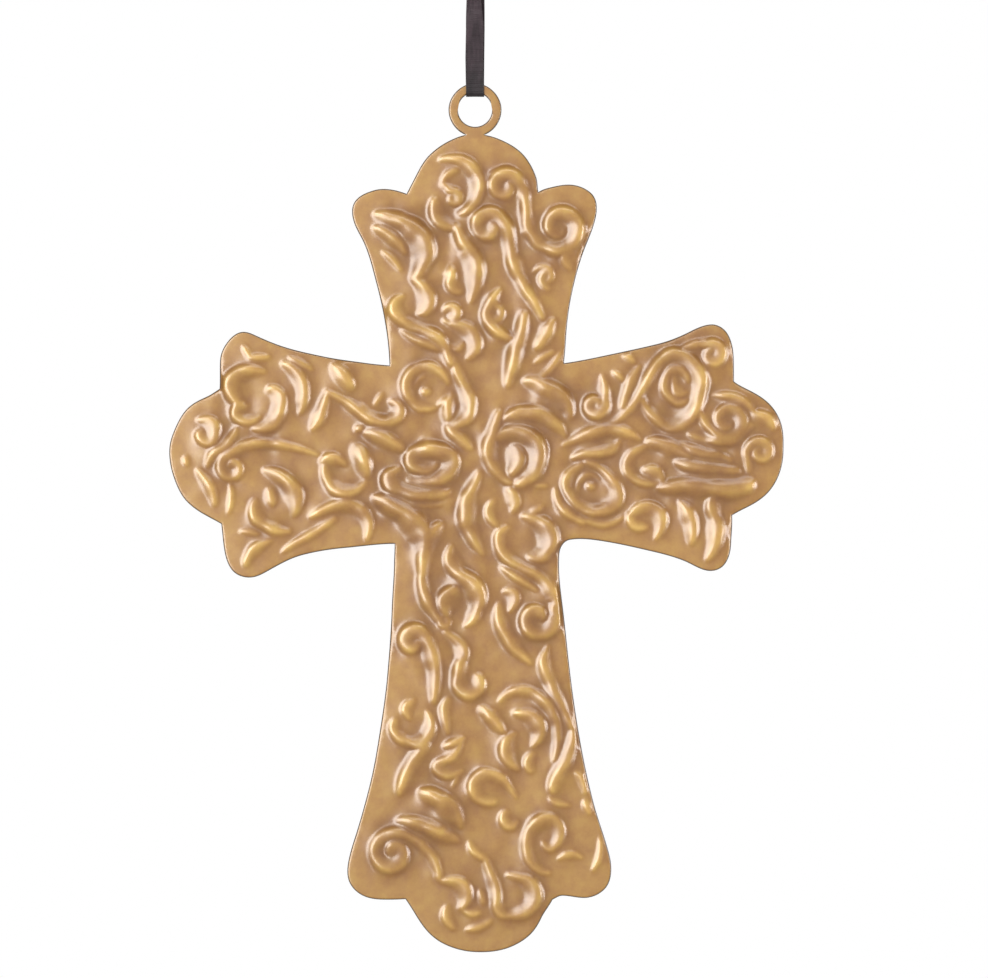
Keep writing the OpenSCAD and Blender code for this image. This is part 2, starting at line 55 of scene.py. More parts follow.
# The outline of plate and ring, clockwise from the ring's left foot: [x, y, heading in degrees].
# A corner has a second heading, the one it leaves by.
EDGE = [
    # ring, right half of the top lobe, then the right foil of the upper arm
    [-1.65, 55.45, 12, 160], [-4.65, 59.85, 90], [0, 64.5, 0], [4.65, 59.85, 270],
    [1.65, 55.45, 200, 350], [4, 54.8, 338], [8.8, 51.6, 309], [10.7, 48.1, 290],
    [11.1, 45.4, 280, 35], [13.1, 46.2, 13], [16.9, 46.7, 355], [20.4, 45.2, 317],
    [21.3, 41.7, 262], [18.8, 34.3, 251], [16.8, 26.7, 259], [15.9, 18.9, 267],
    [15.6, 15.4, 265, 8],
    # right arm: upper foil, end lobe, lower foil
    [24.5, 17.1, 12], [32.1, 18.8, 14], [37.6, 20.9, 27], [41.3, 22.2, 5], [44.4, 20.4, 299],
    [45.4, 14.7, 270], [45.4, 12.2, 268, 322], [48.6, 10.4, 332], [51.8, 8.1, 313],
    [53.7, 4.8, 287], [54.1, 0, 269], [53.1, -4.7, 246], [50.8, -7.9, 222], [47.5, -10, 206],
    [45.1, -11.3, 212, 272], [44.9, -16.4, 267], [43.7, -20, 230], [40.7, -21, 170],
    [36.7, -19.3, 158], [29.2, -17.2, 167], [21.5, -15.7, 172], [16.6, -15.6, 190],
    # right side of the lower arm
    [14.8, -18, 265], [15.4, -27.4, 277], [16.7, -39.1, 277], [18.4, -50.6, 280],
    [20.9, -62.1, 285], [23.2, -69.5, 286], [23.9, -73.3, 270], [22.7, -76.9, 225],
    [19.2, -78.4, 181], [15.3, -78, 180], [13.6, -78.7, 205, 243],
    # bottom lobe
    [11.6, -82, 245], [9.4, -85.1, 221], [6, -87.1, 201], [0.2, -87.9, 178], [-5.4, -86.5, 154],
    [-8.5, -84.1, 131], [-10.7, -80.9, 121], [-12.2, -78.6, 125, 184],
    # left side of the lower arm
    [-15.3, -78.7, 180], [-19.2, -78.2, 159], [-22, -75.7, 115], [-22.2, -71.9, 79],
    [-20.6, -66.3, 73], [-18.5, -58.7, 76], [-17, -51.1, 81], [-15.4, -39.4, 85],
    [-14.6, -27.6, 88], [-14.2, -19.7, 89], [-14.1, -16.3, 90, 180],
    # left arm: lower foil, end lobe, upper foil
    [-22.7, -17, 185], [-30.4, -18.3, 195], [-35.7, -20.7, 209], [-39.3, -22.2, 184],
    [-42.7, -20.8, 127], [-44, -17.2, 99], [-44.5, -12.8, 97, 150], [-47.6, -11.1, 150],
    [-50.7, -8.7, 132], [-52.6, -5.3, 111], [-53.6, 0.5, 86], [-52.5, 4.2, 66],
    [-50.4, 7.5, 45], [-47.1, 9.5, 24], [-44.8, 10.9, 32, 86], [-44.7, 16, 86],
    [-43.1, 19.5, 49], [-40.6, 20.9, 0], [-37.9, 20, 336], [-34.2, 18.5, 341],
    [-26.7, 16.6, 348], [-18.9, 15.4, 352], [-15, 15, 355, 92],
    # left foil of the upper arm, then the left half of the top lobe
    [-15.6, 21.4, 99], [-17.2, 29, 105], [-19.5, 36.5, 114], [-21.2, 40, 109],
    [-21.1, 43.7, 57], [-17.8, 45.7, 17], [-13.9, 45.7, 347], [-12, 45.1, 338, 63],
    [-10.1, 48.8, 63], [-7.9, 52, 44], [-4.7, 54.3, 27],
]


# Scrolls: [[width at the start, widest, at the end], curl or nothing, stations...]. A curl is
# [centre x, centre y, outer radius, outer angle, turn going in, eye radius], and the scroll
# runs out of its eye. A station is [x, y, heading].
# Scrolls of the upper arm
TOP = [
    [[0.6, 2, 0.8], [], [-6.2, 51, 28], [-3, 51.2, -6], [0.8, 46.6, -90], [-0.6, 43, -138],
     [-2.8, 41.6, -172]],
    [[0.5, 1.4, 0.9], [-3.8, 44.3, 1.3, 80, -300, 0.4], [-4.7, 46, 130], [-5.6, 46.8, 160]],
    [[0.8, 2, 1.2], [], [-7, 44.2, -112], [-6.9, 41, -62], [-3.8, 39.2, -5]],
    [[1.4, 2.8, 0.5], [], [-3.4, 39.4, -62], [-1.5, 36, -50], [0.4, 31.4, -88], [-0.8, 26, -112]],
    [[0.9, 2.1, 2], [5.2, 46.4, 2.6, 40, 350, 0.8], [8.75, 44.6, -88], [9.1, 40, -88],
     [9.4, 38.8, -80]],
    [[1, 2.1, 2], [14.9, 39.3, 4.2, -112, 400, 1], [10.6, 37, 125], [9.2, 40, 93]],
    [[0.4, 1.1, 0.8], [], [2.5, 48.3, 42], [5.8, 49.3, 0]],
    [[1, 1.9, 0.4], [], [18, 36.8, -120], [15.9, 34, -100], [16.8, 31.8, -55]],
    [[0.9, 2.3, 1.2], [2.2, 39.3, 2.8, 50, 350, 0.8], [5.9, 38.6, -75], [6.5, 34, -86],
     [7.9, 30.3, -60], [9.8, 27, -55], [11.8, 23.4, -65]],
    [[0.8, 3.1, 1.5], [], [-17.5, 41.5, 0], [-11.9, 39.9, -25], [-8.4, 35.5, -85],
     [-10.6, 30.3, -125]],
    [[1.4, 2.2, 0.5], [], [-10.8, 30.4, -45], [-8, 27.2, -70], [-8.2, 25.2, -115],
     [-10.2, 24, -170]],
    [[0.5, 1.9, 0.5], [], [-17.8, 39.2, -10], [-14.6, 37.6, -38], [-12.2, 34.6, -62]],
    [[0.4, 1.2, 0.4], [], [-16.3, 35, -25], [-13, 31.6, -60]],
    [[0.6, 2.1, 1.6], [], [-12.6, 27.2, 190], [-14.4, 25.2, -92], [-12, 22.3, -38], [-8, 20.8, -20],
     [-5.2, 18.2, -68], [-4.2, 15.6, -60]],
    [[0.5, 1.6, 0.5], [], [-13, 21.2, -35], [-9.5, 19.2, -26], [-6.2, 17.6, -32]],
    [[0.9, 1.5, 0.9], [-4, 24, 1.5, 150, -270, 0.5]],
    [[0.9, 1.1, 0.9], [], [-5.4, 22.9, -25], [-4.4, 22.5, -20]],
    [[1, 2.1, 0.6], [], [-4.6, 22.4, -5], [-1, 21.4, -38], [0.4, 18.8, -90], [-1.4, 16.2, -155]],
    [[0.6, 1, 0.6], [], [-4.2, 18.6, -60], [-3.2, 17.9, 0], [-2.2, 18.9, 65]],
    [[0.5, 1.9, 0.6], [], [-4.2, 32.4, -75], [-4.2, 29.8, -108], [-2.3, 28, 10]],
    [[0.8, 2, 1.4], [], [4.3, 28.4, -125], [2.1, 24.6, -105], [2.9, 21.9, -50], [6.4, 19.7, -30]],
    [[0.8, 1.3, 1], [3.5, 24, 1.4, 80, -300, 0.4], [3.6, 26.6, 80]],
    [[1.4, 2.7, 1], [], [8.7, 24, -98], [7.8, 20, -104], [6.4, 14.5, -103], [5.7, 11.5, -104]],
    [[0.6, 2.2, 0.5], [], [13.7, 23.2, -115], [12.5, 20.4, -122], [10.5, 17.9, -140]],
    [[0.7, 1.2, 0.7], [], [12.9, 31.4, 175], [11.6, 30.2, -95], [12.8, 28.4, -35]],
    [[0.4, 1.2, 0.6], [], [10.2, 31.4, 45], [12, 32.3, 0], [13.4, 30.6, -95], [12.5, 29.8, 170]],
    [[0.5, 1.2, 0.5], [], [15, 17.2, -118], [13.3, 14.6, -128], [11.2, 12.9, -160]],
    [[0.5, 1, 0.5], [], [10.4, 15.4, 35], [13.9, 17.5, 20]],
    [[0.5, 1.1, 0.7], [], [-5.8, 47.2, 55], [-4.6, 48.7, 35], [-3.2, 49.3, 8]],
]
# Scrolls of the crossing
CENTRE = [
    [[0.8, 1.8, 0.6], [], [-4.8, 12, 115], [-8.3, 15, 180], [-12.2, 11.6, -92], [-10.4, 7.9, -42],
     [-7, 7.5, 12]],
    [[0.6, 2.1, 1.2], [], [-3.4, 15.6, -95], [-2.2, 12, -60], [-0.7, 8.2, -92], [-1.9, 5.2, -150],
     [-4.2, 4.4, 170]],
    [[1.4, 2.3, 0.5], [], [-4.7, 4.2, -55], [-3.2, 2.7, -38], [-0.6, 0.4, -45]],
    [[0.8, 1.9, 0.8], [], [-4.3, 9.6, -110], [-4.7, 7.4, -88], [-4.9, 5.2, -100]],
    [[0.7, 2.4, 1.2], [], [-6.6, -2.2, 235], [-9, -3.4, 172], [-11.4, -1.7, 92], [-7.4, 0.4, 0],
     [-3.8, -2, -90], [-6.6, -5.2, -168], [-11.6, -5.2, 170]],
    [[0.8, 2.7, 0.8], [], [-13.2, -2.9, -140], [-15.4, -4.9, -92], [-12.2, -7.1, -18],
     [-7.6, -7.7, 0], [-4.4, -7, 20]],
    [[0.6, 3.3, 2.8], [], [-17.8, -8.1, -12], [-12.6, -10.6, -30], [-9.2, -14, -68],
     [-8.9, -16.5, -92]],
    [[0.4, 1, 0.4], [], [-13.2, -9.1, -12], [-9.5, -9.6, 0], [-5.8, -9.4, 8]],
    [[0.9, 2.3, 0.9], [], [4.3, 7, -106], [3.1, 3.4, -105], [2.4, 0.4, -90], [3.6, -3.2, -52],
     [6.2, -5.6, -22]],
    [[0.8, 2.9, 0.9], [], [3.6, 1.8, 65], [6.9, 3.4, 0], [11.3, -0.4, -90], [9.2, -5, -150],
     [7.2, -5.9, 175]],
    [[0.9, 2.1, 1.9], [], [6.6, 0.6, 0], [8, -1.4, -90], [6.4, -3.7, -140]],
    [[0.7, 2.4, 0.5], [], [5, 5.4, 48], [9.3, 6.9, -3], [14.2, 4.9, -42], [15.8, 2.4, -75]],
    [[0.8, 2.9, 0.6], [], [8.6, 12.3, 0], [13.4, 10.8, -25], [16.4, 7.8, -72], [16.7, 5.8, -100]],
    [[1, 2.5, 0.4], [], [0.7, -3.8, -105], [-1, -7.6, -118], [-1.8, -11.2, -85], [-0.6, -15, -62],
     [1.5, -18.2, -50]],
    [[0.5, 1.7, 0.7], [], [5.6, -6.8, -20], [7.2, -8.6, -80], [6.6, -10.6, -110]],
    [[0.5, 1.4, 0.5], [], [3.4, -8.6, -140], [2.3, -10.8, -85], [4, -13.2, -35]],
    [[0.7, 2.5, 0.8], [], [8.2, -11.4, -5], [11.4, -12.3, -28], [13.5, -15, -85],
     [12.2, -18.2, -130], [9.4, -18.6, 165]],
    [[0.6, 1.4, 0.6], [], [4.6, -20.4, -35], [7.6, -22.4, -32], [10.8, -24.4, -35]],
    [[0.5, 1.1, 0.5], [], [9.6, -10.9, 10], [11.8, -9.6, 50]],
    [[0.5, 1, 0.5], [], [10.6, -6.1, 0], [12.6, -6.1, 0]],
    [[1.3, 1.5, 1.3], [], [-8.9, 10.5, 0], [-8.5, 10.4, 0]],
    [[0.3, 0.8, 0.3], [], [-4, 10.4, -130], [-6.6, 8, -155]],
    [[0.4, 0.8, 0.3], [], [-10.6, 10.9, 85], [-8.6, 13.3, 15]],
]
# Scrolls of the left arm
LEFT = [
    [[0.5, 2.1, 1.4], [], [-36.8, 13.9, 160], [-40.2, 14.2, 190], [-43.3, 11.4, -90],
     [-41.4, 8.4, -35]],
    [[1.4, 1.5, 0.6], [], [-41, 8.2, 180], [-42.2, 6.7, -92], [-39.9, 5.2, -2], [-37.7, 6, 35]],
    [[0.8, 2.1, 0.6], [], [-36.2, 10.8, 35], [-33.9, 9, -88], [-35, 5.2, -122], [-39, 3.9, 175]],
    [[0.4, 1.1, 0.8], [], [-40.6, 18.4, -60], [-39.3, 16.4, -55]],
    [[0.8, 1.3, 0.4], [], [-39.6, 16.4, 0], [-36, 16.5, 0]],
    [[0.6, 2, 0.5], [], [-33.8, 15.4, -12], [-30.6, 13, -62], [-29.9, 9.2, -92],
     [-30.8, 6.4, -112]],
    [[0.4, 1.3, 0.4], [], [-32.6, 16.4, -18], [-28.6, 14.2, -35]],
    [[0.8, 2.4, 0.7], [], [-24.8, 15, -38], [-22.7, 12.9, -52], [-21.6, 11, -75]],
    [[0.8, 1.9, 0.8], [], [-26, 10.4, -20], [-22.6, 8.7, -28], [-18.2, 5.6, -22], [-15, 5.2, 5],
     [-12.9, 6.9, 88], [-14.8, 8.7, 165]],
    [[0.5, 1.1, 0.6], [], [-20, 8.3, -75], [-18.4, 6.7, -25]],
    [[0.4, 1, 0.4], [], [-17.6, 8, 60], [-16.2, 10.1, 50]],
    [[1, 2, 0.6], [], [-26, 9.8, -105], [-26.9, 6.6, -105], [-28.6, 3.8, -130]],
    [[1.4, 1.4, 1.4], [], [-20.5, 3.9, 0], [-20.2, 3.9, 0]],
    [[0.6, 2.5, 0.8], [], [-19.6, 3.2, -5], [-15.8, 2.2, -24], [-12.6, 0.2, -40]],
    [[0.8, 2.6, 1], [], [-20.7, 0.9, -42], [-19.4, -1.8, -72], [-19, -4.2, -90]],
    [[0.8, 1.7, 0.5], [], [-26.8, -2, 65], [-25.2, -1.1, 0], [-22.7, -2.4, -38]],
    [[1.1, 1.8, 0.5], [], [-26.4, -2.8, -95], [-25.2, -6.3, -52], [-22.4, -7.4, 0],
     [-19, -5.4, 40]],
    [[0.6, 1.9, 0.9], [], [-28.9, -11.6, 30], [-25.4, -9.8, 22], [-22.2, -9.3, -5],
     [-18.5, -12.4, -80], [-18.9, -15.4, -102]],
    [[0.8, 1.4, 0.5], [], [-24.6, -11.9, -150], [-28.4, -14.4, -150], [-33.8, -17.8, -135]],
    [[1, 1.9, 0.9], [], [-38.7, -8.8, -112], [-38.8, -11.2, -72], [-36, -13.5, -28],
     [-32.6, -14.1, -3]],
    [[0.7, 2.4, 0.5], [], [-37, -3.3, 0], [-33.4, -4.8, -40], [-31, -8.2, -88],
     [-31.8, -11.4, -115]],
    [[0.9, 1.7, 0.7], [], [-36.1, -6.8, -75], [-35.6, -9.4, -90]],
    [[0.8, 1.8, 0.5], [-42.6, -2.9, 2.3, 125, 390, 0.6], [-40.8, 0.9, 25], [-36.5, 1.5, -3],
     [-31, 0.5, -14], [-27.4, -0.8, -25]],
    [[0.6, 1.7, 0.5], [], [-41.8, 4, -110], [-43.2, 1.6, -125], [-45.4, 0, -145],
     [-47, -2.8, -105]],
    [[0.6, 1.8, 1.2], [], [-48.6, 5.4, 15], [-46.6, 5.5, -15], [-45.4, 3.8, -95], [-46.8, 1.6, 180],
     [-48.5, 3, 88]],
    [[0.8, 1.6, 0.8], [], [-48.6, -3.4, -45], [-46.4, -6.4, -62], [-45.7, -9.4, -88]],
    [[0.4, 1, 0.4], [], [-43, -5.6, -75], [-42.7, -8, -92], [-43.2, -11, -100]],
    [[0.4, 1, 0.5], [], [-41.2, -14.1, 5], [-38, -14.5, -5]],
    [[0.7, 1.6, 0.5], [], [-40.3, -20, 88], [-39.5, -18, 65], [-35.8, -15.8, 18]],
    [[0.9, 1, 0.9], [], [-50.8, -1.4, -90], [-50.6, -2.2, -80]],
]
# Scrolls of the right arm
RIGHT = [
    [[0.9, 2, 0.4], [21, 8.1, 2, 10, -430, 0.4], [22.9, 10.6, 95], [22.3, 13.4, 98]],
    [[0.5, 1.7, 0.8], [], [28.8, 15, -120], [26.9, 11.4, -108], [25.8, 7.6, -100]],
    [[0.6, 2.2, 1.4], [], [23.6, 4.9, 10], [27, 7.2, 48], [29.6, 11.2, 62], [33.6, 16.7, 35],
     [37.4, 16.3, -32], [39.9, 12, -88], [38, 6.2, -125], [34.4, 4.2, 180], [31.4, 5.9, 140],
     [29.5, 8.8, 115]],
    [[0.7, 1.5, 0.7], [], [37.3, 12.3, 100], [35.4, 14.6, 170], [33.2, 11.4, -93], [34.8, 8.7, -40],
     [37, 8.8, 30]],
    [[0.6, 1.3, 0.6], [], [34.9, 13.2, -100], [35.1, 10.6, -75], [36.9, 10.1, 20]],
    [[0.8, 1.8, 0.5], [41.6, 16.9, 2.1, 110, -380, 0.7], [38.4, 18.7, 195], [35.8, 17.7, 212]],
    [[0.9, 1.9, 0.6], [44.4, 5.4, 3.2, -110, 400, 0.9], [40.8, 4.3, 135], [39.5, 7.4, 95]],
    [[0.6, 1.7, 1], [], [37.4, 3, -30], [41, 1.8, -8], [44.6, 1.7, 8], [48.3, 4.6, 55]],
    [[0.5, 1.6, 0.8], [], [41.4, 9.8, 0], [45.4, 9.5, -15], [49.2, 6.4, -60]],
    [[0.8, 1.7, 0.6], [], [48.8, 6.5, 18], [51.1, 6, -30], [52.4, 3.8, -82]],
    [[0.7, 1.7, 1], [50, -0.2, 2.4, 190, -430, 0.5], [48, -3.4, -75]],
    [[0.7, 2.5, 0.8], [], [30, 1.5, 20], [33.2, 1.2, -15], [38, -1.2, -28]],
    [[0.5, 2.3, 0.6], [], [35.5, 1.4, -20], [40, -0.4, -10], [45, -1.8, -35]],
    [[0.5, 2.8, 0.8], [], [35, -1.8, -22], [40, -2.9, -8], [46.4, -3.6, -8]],
    [[1, 3.3, 2.1], [], [32, -6.4, 0], [38, -6.2, -2], [43.5, -6.8, -2], [48.2, -6, 25]],
    [[0.6, 1.6, 1], [], [30.6, 1, 185], [28.4, 0.2, 210], [26.5, -2.5, -90], [28.6, -5.3, -28],
     [32.2, -5.6, 10]],
    [[0.6, 1.8, 0.9], [], [29.4, -3.5, 22], [31.8, -3.6, -35], [32.6, -5.8, -100]],
    [[0.5, 2.2, 0.5], [], [15.4, 1, 28], [19.5, 2.9, 22], [23.6, 3.8, 2], [28.9, 2, -40]],
    [[0.5, 1.8, 1], [], [25.4, 1.9, -120], [23.4, -0.1, -165], [20, -0.5, 180], [17.2, -1.2, 205]],
    [[1, 1.9, 1], [], [19.4, -1.9, -12], [23.4, -4.3, -48], [25.3, -8, -95], [22.4, -10.6, -172],
     [18, -9.4, 138], [15.9, -5.6, 88], [18.6, -2.4, 25]],
    [[0.4, 1, 0.4], [], [18, -7.2, 105], [19.2, -4.4, 35], [21.8, -5, -50]],
    [[1.4, 1.6, 1.4], [], [20, -6.1, 0], [20.4, -6.1, 0]],
    [[0.7, 1.6, 1.1], [], [14.1, -6.7, -85], [15, -9.6, -60], [19, -12.5, -25]],
    [[0.7, 1.3, 0.4], [], [19.2, -12.2, -20], [22.4, -12.9, 0], [26, -11.5, 35]],
    [[1, 1.9, 0.4], [], [27.4, -11.3, 70], [30.2, -9.6, 0], [33, -12.2, -90], [31.6, -15.6, -120]],
    [[0.9, 1.5, 0.5], [], [27.1, -11, -100], [27.7, -13, -40], [30.2, -13.3, 20]],
    [[0.7, 2.1, 0.5], [], [35.8, -8.6, -50], [38, -12, -75], [37.8, -16.4, -108]],
    [[1.1, 2.3, 0.6], [], [42.3, -7.9, -160], [41.4, -10, -80], [42.7, -13.8, -88],
     [40.6, -19.2, -128]],
    [[0.4, 1.2, 0.4], [], [25.6, 17.3, -15], [28, 15.3, -58]],
    [[0.4, 1.1, 0.4], [], [24.2, 13.9, -15], [26, 12.2, -55]],
]
# Scrolls of the lower arm
LOWER = [
    [[1, 2.4, 1.6], [], [-6, -12.8, -150], [-8.7, -16.8, -106], [-9.2, -22, -92]],
    [[1.4, 2.2, 0.8], [], [-9.4, -21.8, -88], [-8.5, -26, -70], [-6.4, -29.8, -60]],
    [[0.7, 2.5, 0.4], [], [-4.2, -16.6, -105], [-4.6, -19, -80], [-2.8, -21.3, -30],
     [0.8, -25, -80], [0.3, -28.4, -105], [-1.8, -30.8, -145]],
    [[0.9, 2.5, 1.2], [], [-3.2, -24.6, 170], [-5.5, -26.4, -95], [-4.9, -28.7, -70]],
    [[0.6, 1.1, 0.7], [-5.2, -29.9, 1.1, 120, 330, 0.4]],
    [[1.4, 2.1, 0.9], [-0.8, -40.6, 2.3, 180, 215, 1.8], [-2.2, -36.4, 62], [-2.4, -34, 125],
     [-5.2, -31.6, 140]],
    [[1, 2.4, 1.2], [-10.9, -33.4, 2.2, 60, 300, 0.8], [-8, -34.2, -66], [-7, -37.8, -83],
     [-6.9, -41.4, -95], [-7.2, -43.8, -98]],
    [[0.7, 1.6, 0.8], [], [-4.6, -43.4, -140], [-5.5, -45.4, -88], [-4.8, -49.4, -80]],
    [[0.7, 1.7, 0.7], [], [-5.4, -51.8, 22], [-2, -50.3, 25]],
    [[0.7, 1.5, 0.7], [], [-2.3, -50.9, -112], [-4, -53.6, -142], [-6.7, -55, -130],
     [-5.2, -56.9, -10], [-2.3, -56.1, 25]],
    [[0.6, 0.8, 0.3], [], [-2.7, -56.6, -120], [-4, -59, -115]],
    [[0.5, 1.9, 0.8], [], [-8.4, -45.6, -60], [-7.5, -48.2, -90], [-9.2, -51.2, -138],
     [-12.2, -50.8, 168], [-14.4, -48.8, 110], [-14, -47.2, 50]],
    [[0.5, 1.4, 0.9], [], [-10.6, -43.7, 200], [-12.2, -45.2, -100], [-11.6, -46.8, -60]],
    [[0.8, 2.2, 1.2], [], [-8, -51.4, -148], [-11.2, -54.8, -120], [-13.2, -59.8, -102]],
    [[0.8, 2.9, 0.6], [], [-9.7, -59.7, -2], [-5.6, -61.2, -28], [-2.6, -66, -82]],
    [[0.5, 2.7, 0.5], [], [-13.8, -64.8, 5], [-8.6, -65.8, -22], [-2.9, -68.4, -38]],
    [[0.9, 1.9, 1.2], [-14.4, -70.6, 4, 65, 450, 0.8], [-9.8, -68.6, -35], [-7.1, -71.6, -60],
     [-6.2, -74.4, -72]],
    [[0.8, 1.2, 0.8], [], [-6.5, -73.6, -75], [-6.2, -75.2, -60]],
    [[0.8, 1.9, 0.6], [], [-6, -75.4, 10], [-3.2, -75.4, -12], [-1.2, -77.8, -88],
     [-2.7, -80.3, -150]],
    [[0.6, 1.4, 0.5], [], [-4.8, -79.8, -125], [-5.2, -81.6, -80], [-3.6, -83.8, -35]],
    [[0.4, 1.1, 0.5], [], [-2.4, -80.4, -25], [-0.4, -81.2, -2], [0.9, -80.9, 20]],
    [[0.4, 1.3, 0.4], [], [-1.6, -84, 5], [2.9, -82.2, 42]],
    [[0.6, 1.3, 0.6], [], [0.9, -77, -78], [1.5, -79.4, -72]],
    [[0.8, 1.9, 1.2], [], [1.8, -71.6, -72], [3.2, -75, -68], [3.8, -79.2, -98], [5, -81.5, -20]],
    [[0.6, 2.1, 1], [], [5.6, -74.4, 12], [8.6, -74.9, -15], [10.9, -77.8, -88], [9, -80.8, -148],
     [5.2, -81.5, 178]],
    [[0.5, 1.3, 0.7], [], [-1, -68.5, -85], [-0.2, -70.3, -42], [2.4, -71.8, -20]],
    [[0.5, 1.8, 1.2], [], [7.2, -60.8, 125], [5.4, -58, 130], [2.2, -56.4, 175], [-0.5, -58.8, -92],
     [1, -61.3, -25], [3.2, -61.6, 15]],
    [[0.7, 1.5, 0.6], [], [5.6, -63.2, -165], [4.9, -64.6, -85], [6.2, -65.8, 0], [7.4, -64.9, 50]],
    [[0.8, 1.9, 0.5], [], [13, -74, 180], [9.3, -71.2, 108], [9.4, -67, 72], [12.5, -64.3, 5],
     [15.1, -66.9, -92], [13.4, -69.7, -150], [11.9, -68.5, 100]],
    [[0.5, 1.2, 0.5], [], [13, -60.8, -45], [14.6, -61.8, -12], [16.6, -62.1, -5]],
    [[0.8, 2.2, 1.2], [], [17.3, -48.8, -92], [16.8, -52.4, -105], [14.6, -56.4, -125],
     [13.6, -59.6, -80]],
    [[0.5, 1.3, 0.6], [], [17.6, -56.4, -20], [19.3, -58.2, -68], [19.3, -60, -95]],
    [[0.5, 1.3, 0.5], [], [19.3, -61.2, -90], [20.2, -63.6, -68]],
    [[0.5, 1.1, 0.5], [], [14.6, -71.6, 28], [16.8, -70.6, 0], [18.8, -71.4, -38]],
    [[0.5, 1.1, 0.5], [], [22, -67.6, -85], [21.9, -71, -98], [20.6, -73.6, -120]],
    [[1, 2.1, 1], [10.9, -29.4, 3.5, 20, -360, 1], [14.4, -25.6, 112], [11.2, -22, 146],
     [7.4, -19.9, 155], [4.6, -17.8, 118], [4, -15.4, 88], [5.4, -13.4, 25]],
    [[0.5, 1.5, 0.5], [], [4.9, -24.7, 25], [6.9, -25, -45], [6, -28.2, -132]],
    [[0.7, 2.2, 0.4], [], [4.2, -26.6, -100], [4.2, -29.4, -80], [6, -33.4, -58],
     [9.9, -37.4, -48]],
    [[0.6, 2.1, 0.6], [], [12.9, -34.2, -112], [12, -37.4, -80], [14.2, -42.6, -62],
     [17, -48.8, -68]],
    [[0.5, 1.9, 0.6], [], [4.2, -44, 55], [8.2, -41.8, 2], [12.7, -44.4, -50], [14.5, -49.6, -88],
     [13.8, -54.4, -108]],
    [[0.5, 2.1, 0.6], [], [6.8, -46, 8], [9.5, -46.2, -15], [11.6, -48.5, -88],
     [10.1, -51.8, -142]],
    [[1, 2, 0.7], [], [6.8, -49.6, -150], [5.1, -52.4, -90], [7.6, -55.8, -35]],
    [[0.6, 1.4, 0.6], [], [10.2, -53, -145], [9.1, -54.8, -90], [10, -56.2, -20]],
    [[0.6, 2.2, 0.6], [], [0.8, -44.8, -22], [3, -46.9, -42], [5.2, -49.4, -50]],
]


# ---------------------------------------------------------------- camera and ribbon route

camera_data = bpy.data.cameras.new("camera")
camera = bpy.data.objects.new("camera", camera_data)
bpy.context.scene.collection.objects.link(camera)
bpy.context.scene.camera = camera
VIEW_X, VIEW_Y = 3.33, -6.67  # middle of the view in the drawing
VIEW_W = 173.3  # width of the view at the plate
CAMERA_DISTANCE = 1300.0
SENSOR_W = 36.0
camera_data.sensor_width = SENSOR_W
camera_data.lens = SENSOR_W * CAMERA_DISTANCE / VIEW_W
camera_data.clip_end = 20.0
camera.location = (VIEW_X * MM, -CAMERA_DISTANCE * MM, (VIEW_Y - HANG) * MM)
camera.rotation_euler = (math.radians(90), 0, 0)


def place(x, y, front=0.0):
    """A point of the drawing in the model: x across, y up, front towards the viewer."""
    return (x * MM, -front * MM, (y - HANG) * MM)


# The ribbon's middle line: [behind the ring's middle, above its centre]
FRONT_STRAND = [
    [-0.7, 28], [-1.2, 26.8], [-1.55, 25.4], [-1.6, 24], [-1.5, 22], [-1.35, 19], [-1.2, 16],
    [-1.05, 13], [-0.95, 10], [-0.88, 7], [-0.83, 5], [-0.8, 3.6], [-0.72, 2.8], [-0.5, 2.46],
    [-0.2, 2.36],
]
ROUTE = FRONT_STRAND + [[-y, z] for y, z in reversed(FRONT_STRAND)]
ROUTE_STEP = 0.35
RIBBON_W = 3.15  # width of the ribbon
RIBBON_T = 0.22  # its thickness
# The ribbon rolls a little as it rises, so that it looks narrower towards the top of the view,
# and drifts to the side. Each is against the height: [heights, degrees] or [heights, mm].
ROLL_FRONT = [2, 9, 14, 19, 25], [0, 6, 12, 37, 6]
ROLL_BEHIND = [2, 14, 19, 25], [0, -4, -14, -4]
DRIFT_FRONT = [2, 5, 9, 14, 19, 25], [0.05, -0.05, -0.12, -0.04, -0.2, 0]
DRIFT_BEHIND = [2, 9, 14, 19, 25], [0, 0.06, 0.12, 0.14, 0]


def smooth_line(points, step):
    """The same line through every point, with Catmull-Rom spans cut to about step."""
    pts = np.array(points, float)
    ends = np.vstack([2 * pts[0] - pts[1], pts, 2 * pts[-1] - pts[-2]])
    out = []
    for a, b, c, d in zip(ends[:-3], ends[1:-2], ends[2:-1], ends[3:]):
        n = max(1, int(np.ceil(np.linalg.norm(c - b) / step)))
        for i in range(n):
            t = i / n
            out.append(0.5 * (2 * b + (c - a) * t + (2 * a - 5 * b + 4 * c - d) * t * t
                              + (3 * b - a - 3 * c + d) * t ** 3))
    out.append(pts[-1])
    return np.array(out)


def new_object(name, verts, faces):
    """Adds one smooth-shaded mesh to the scene."""
    mesh = bpy.data.meshes.new(name)
    mesh.from_pydata([tuple(v) for v in verts], [], faces)
    mesh.update()
    mesh.polygons.foreach_set("use_smooth", [True] * len(mesh.polygons))
    obj = bpy.data.objects.new(name, mesh)
    bpy.context.scene.collection.objects.link(obj)
    return obj


# One face of a band from selvedge to selvedge, as parts of its half width and half thickness:
# a thin bead at each selvedge and a flat middle
BAND_FACE = [(-1.0, 0.35), (-0.97, 1.05), (-0.9, 0.9), (-0.5, 0.8), (0, 0.75), (0.5, 0.8),
             (0.9, 0.9), (0.97, 1.05), (1.0, 0.35)]
BAND_PROFILE = BAND_FACE + [(u, -v) for u, v in reversed(BAND_FACE)]


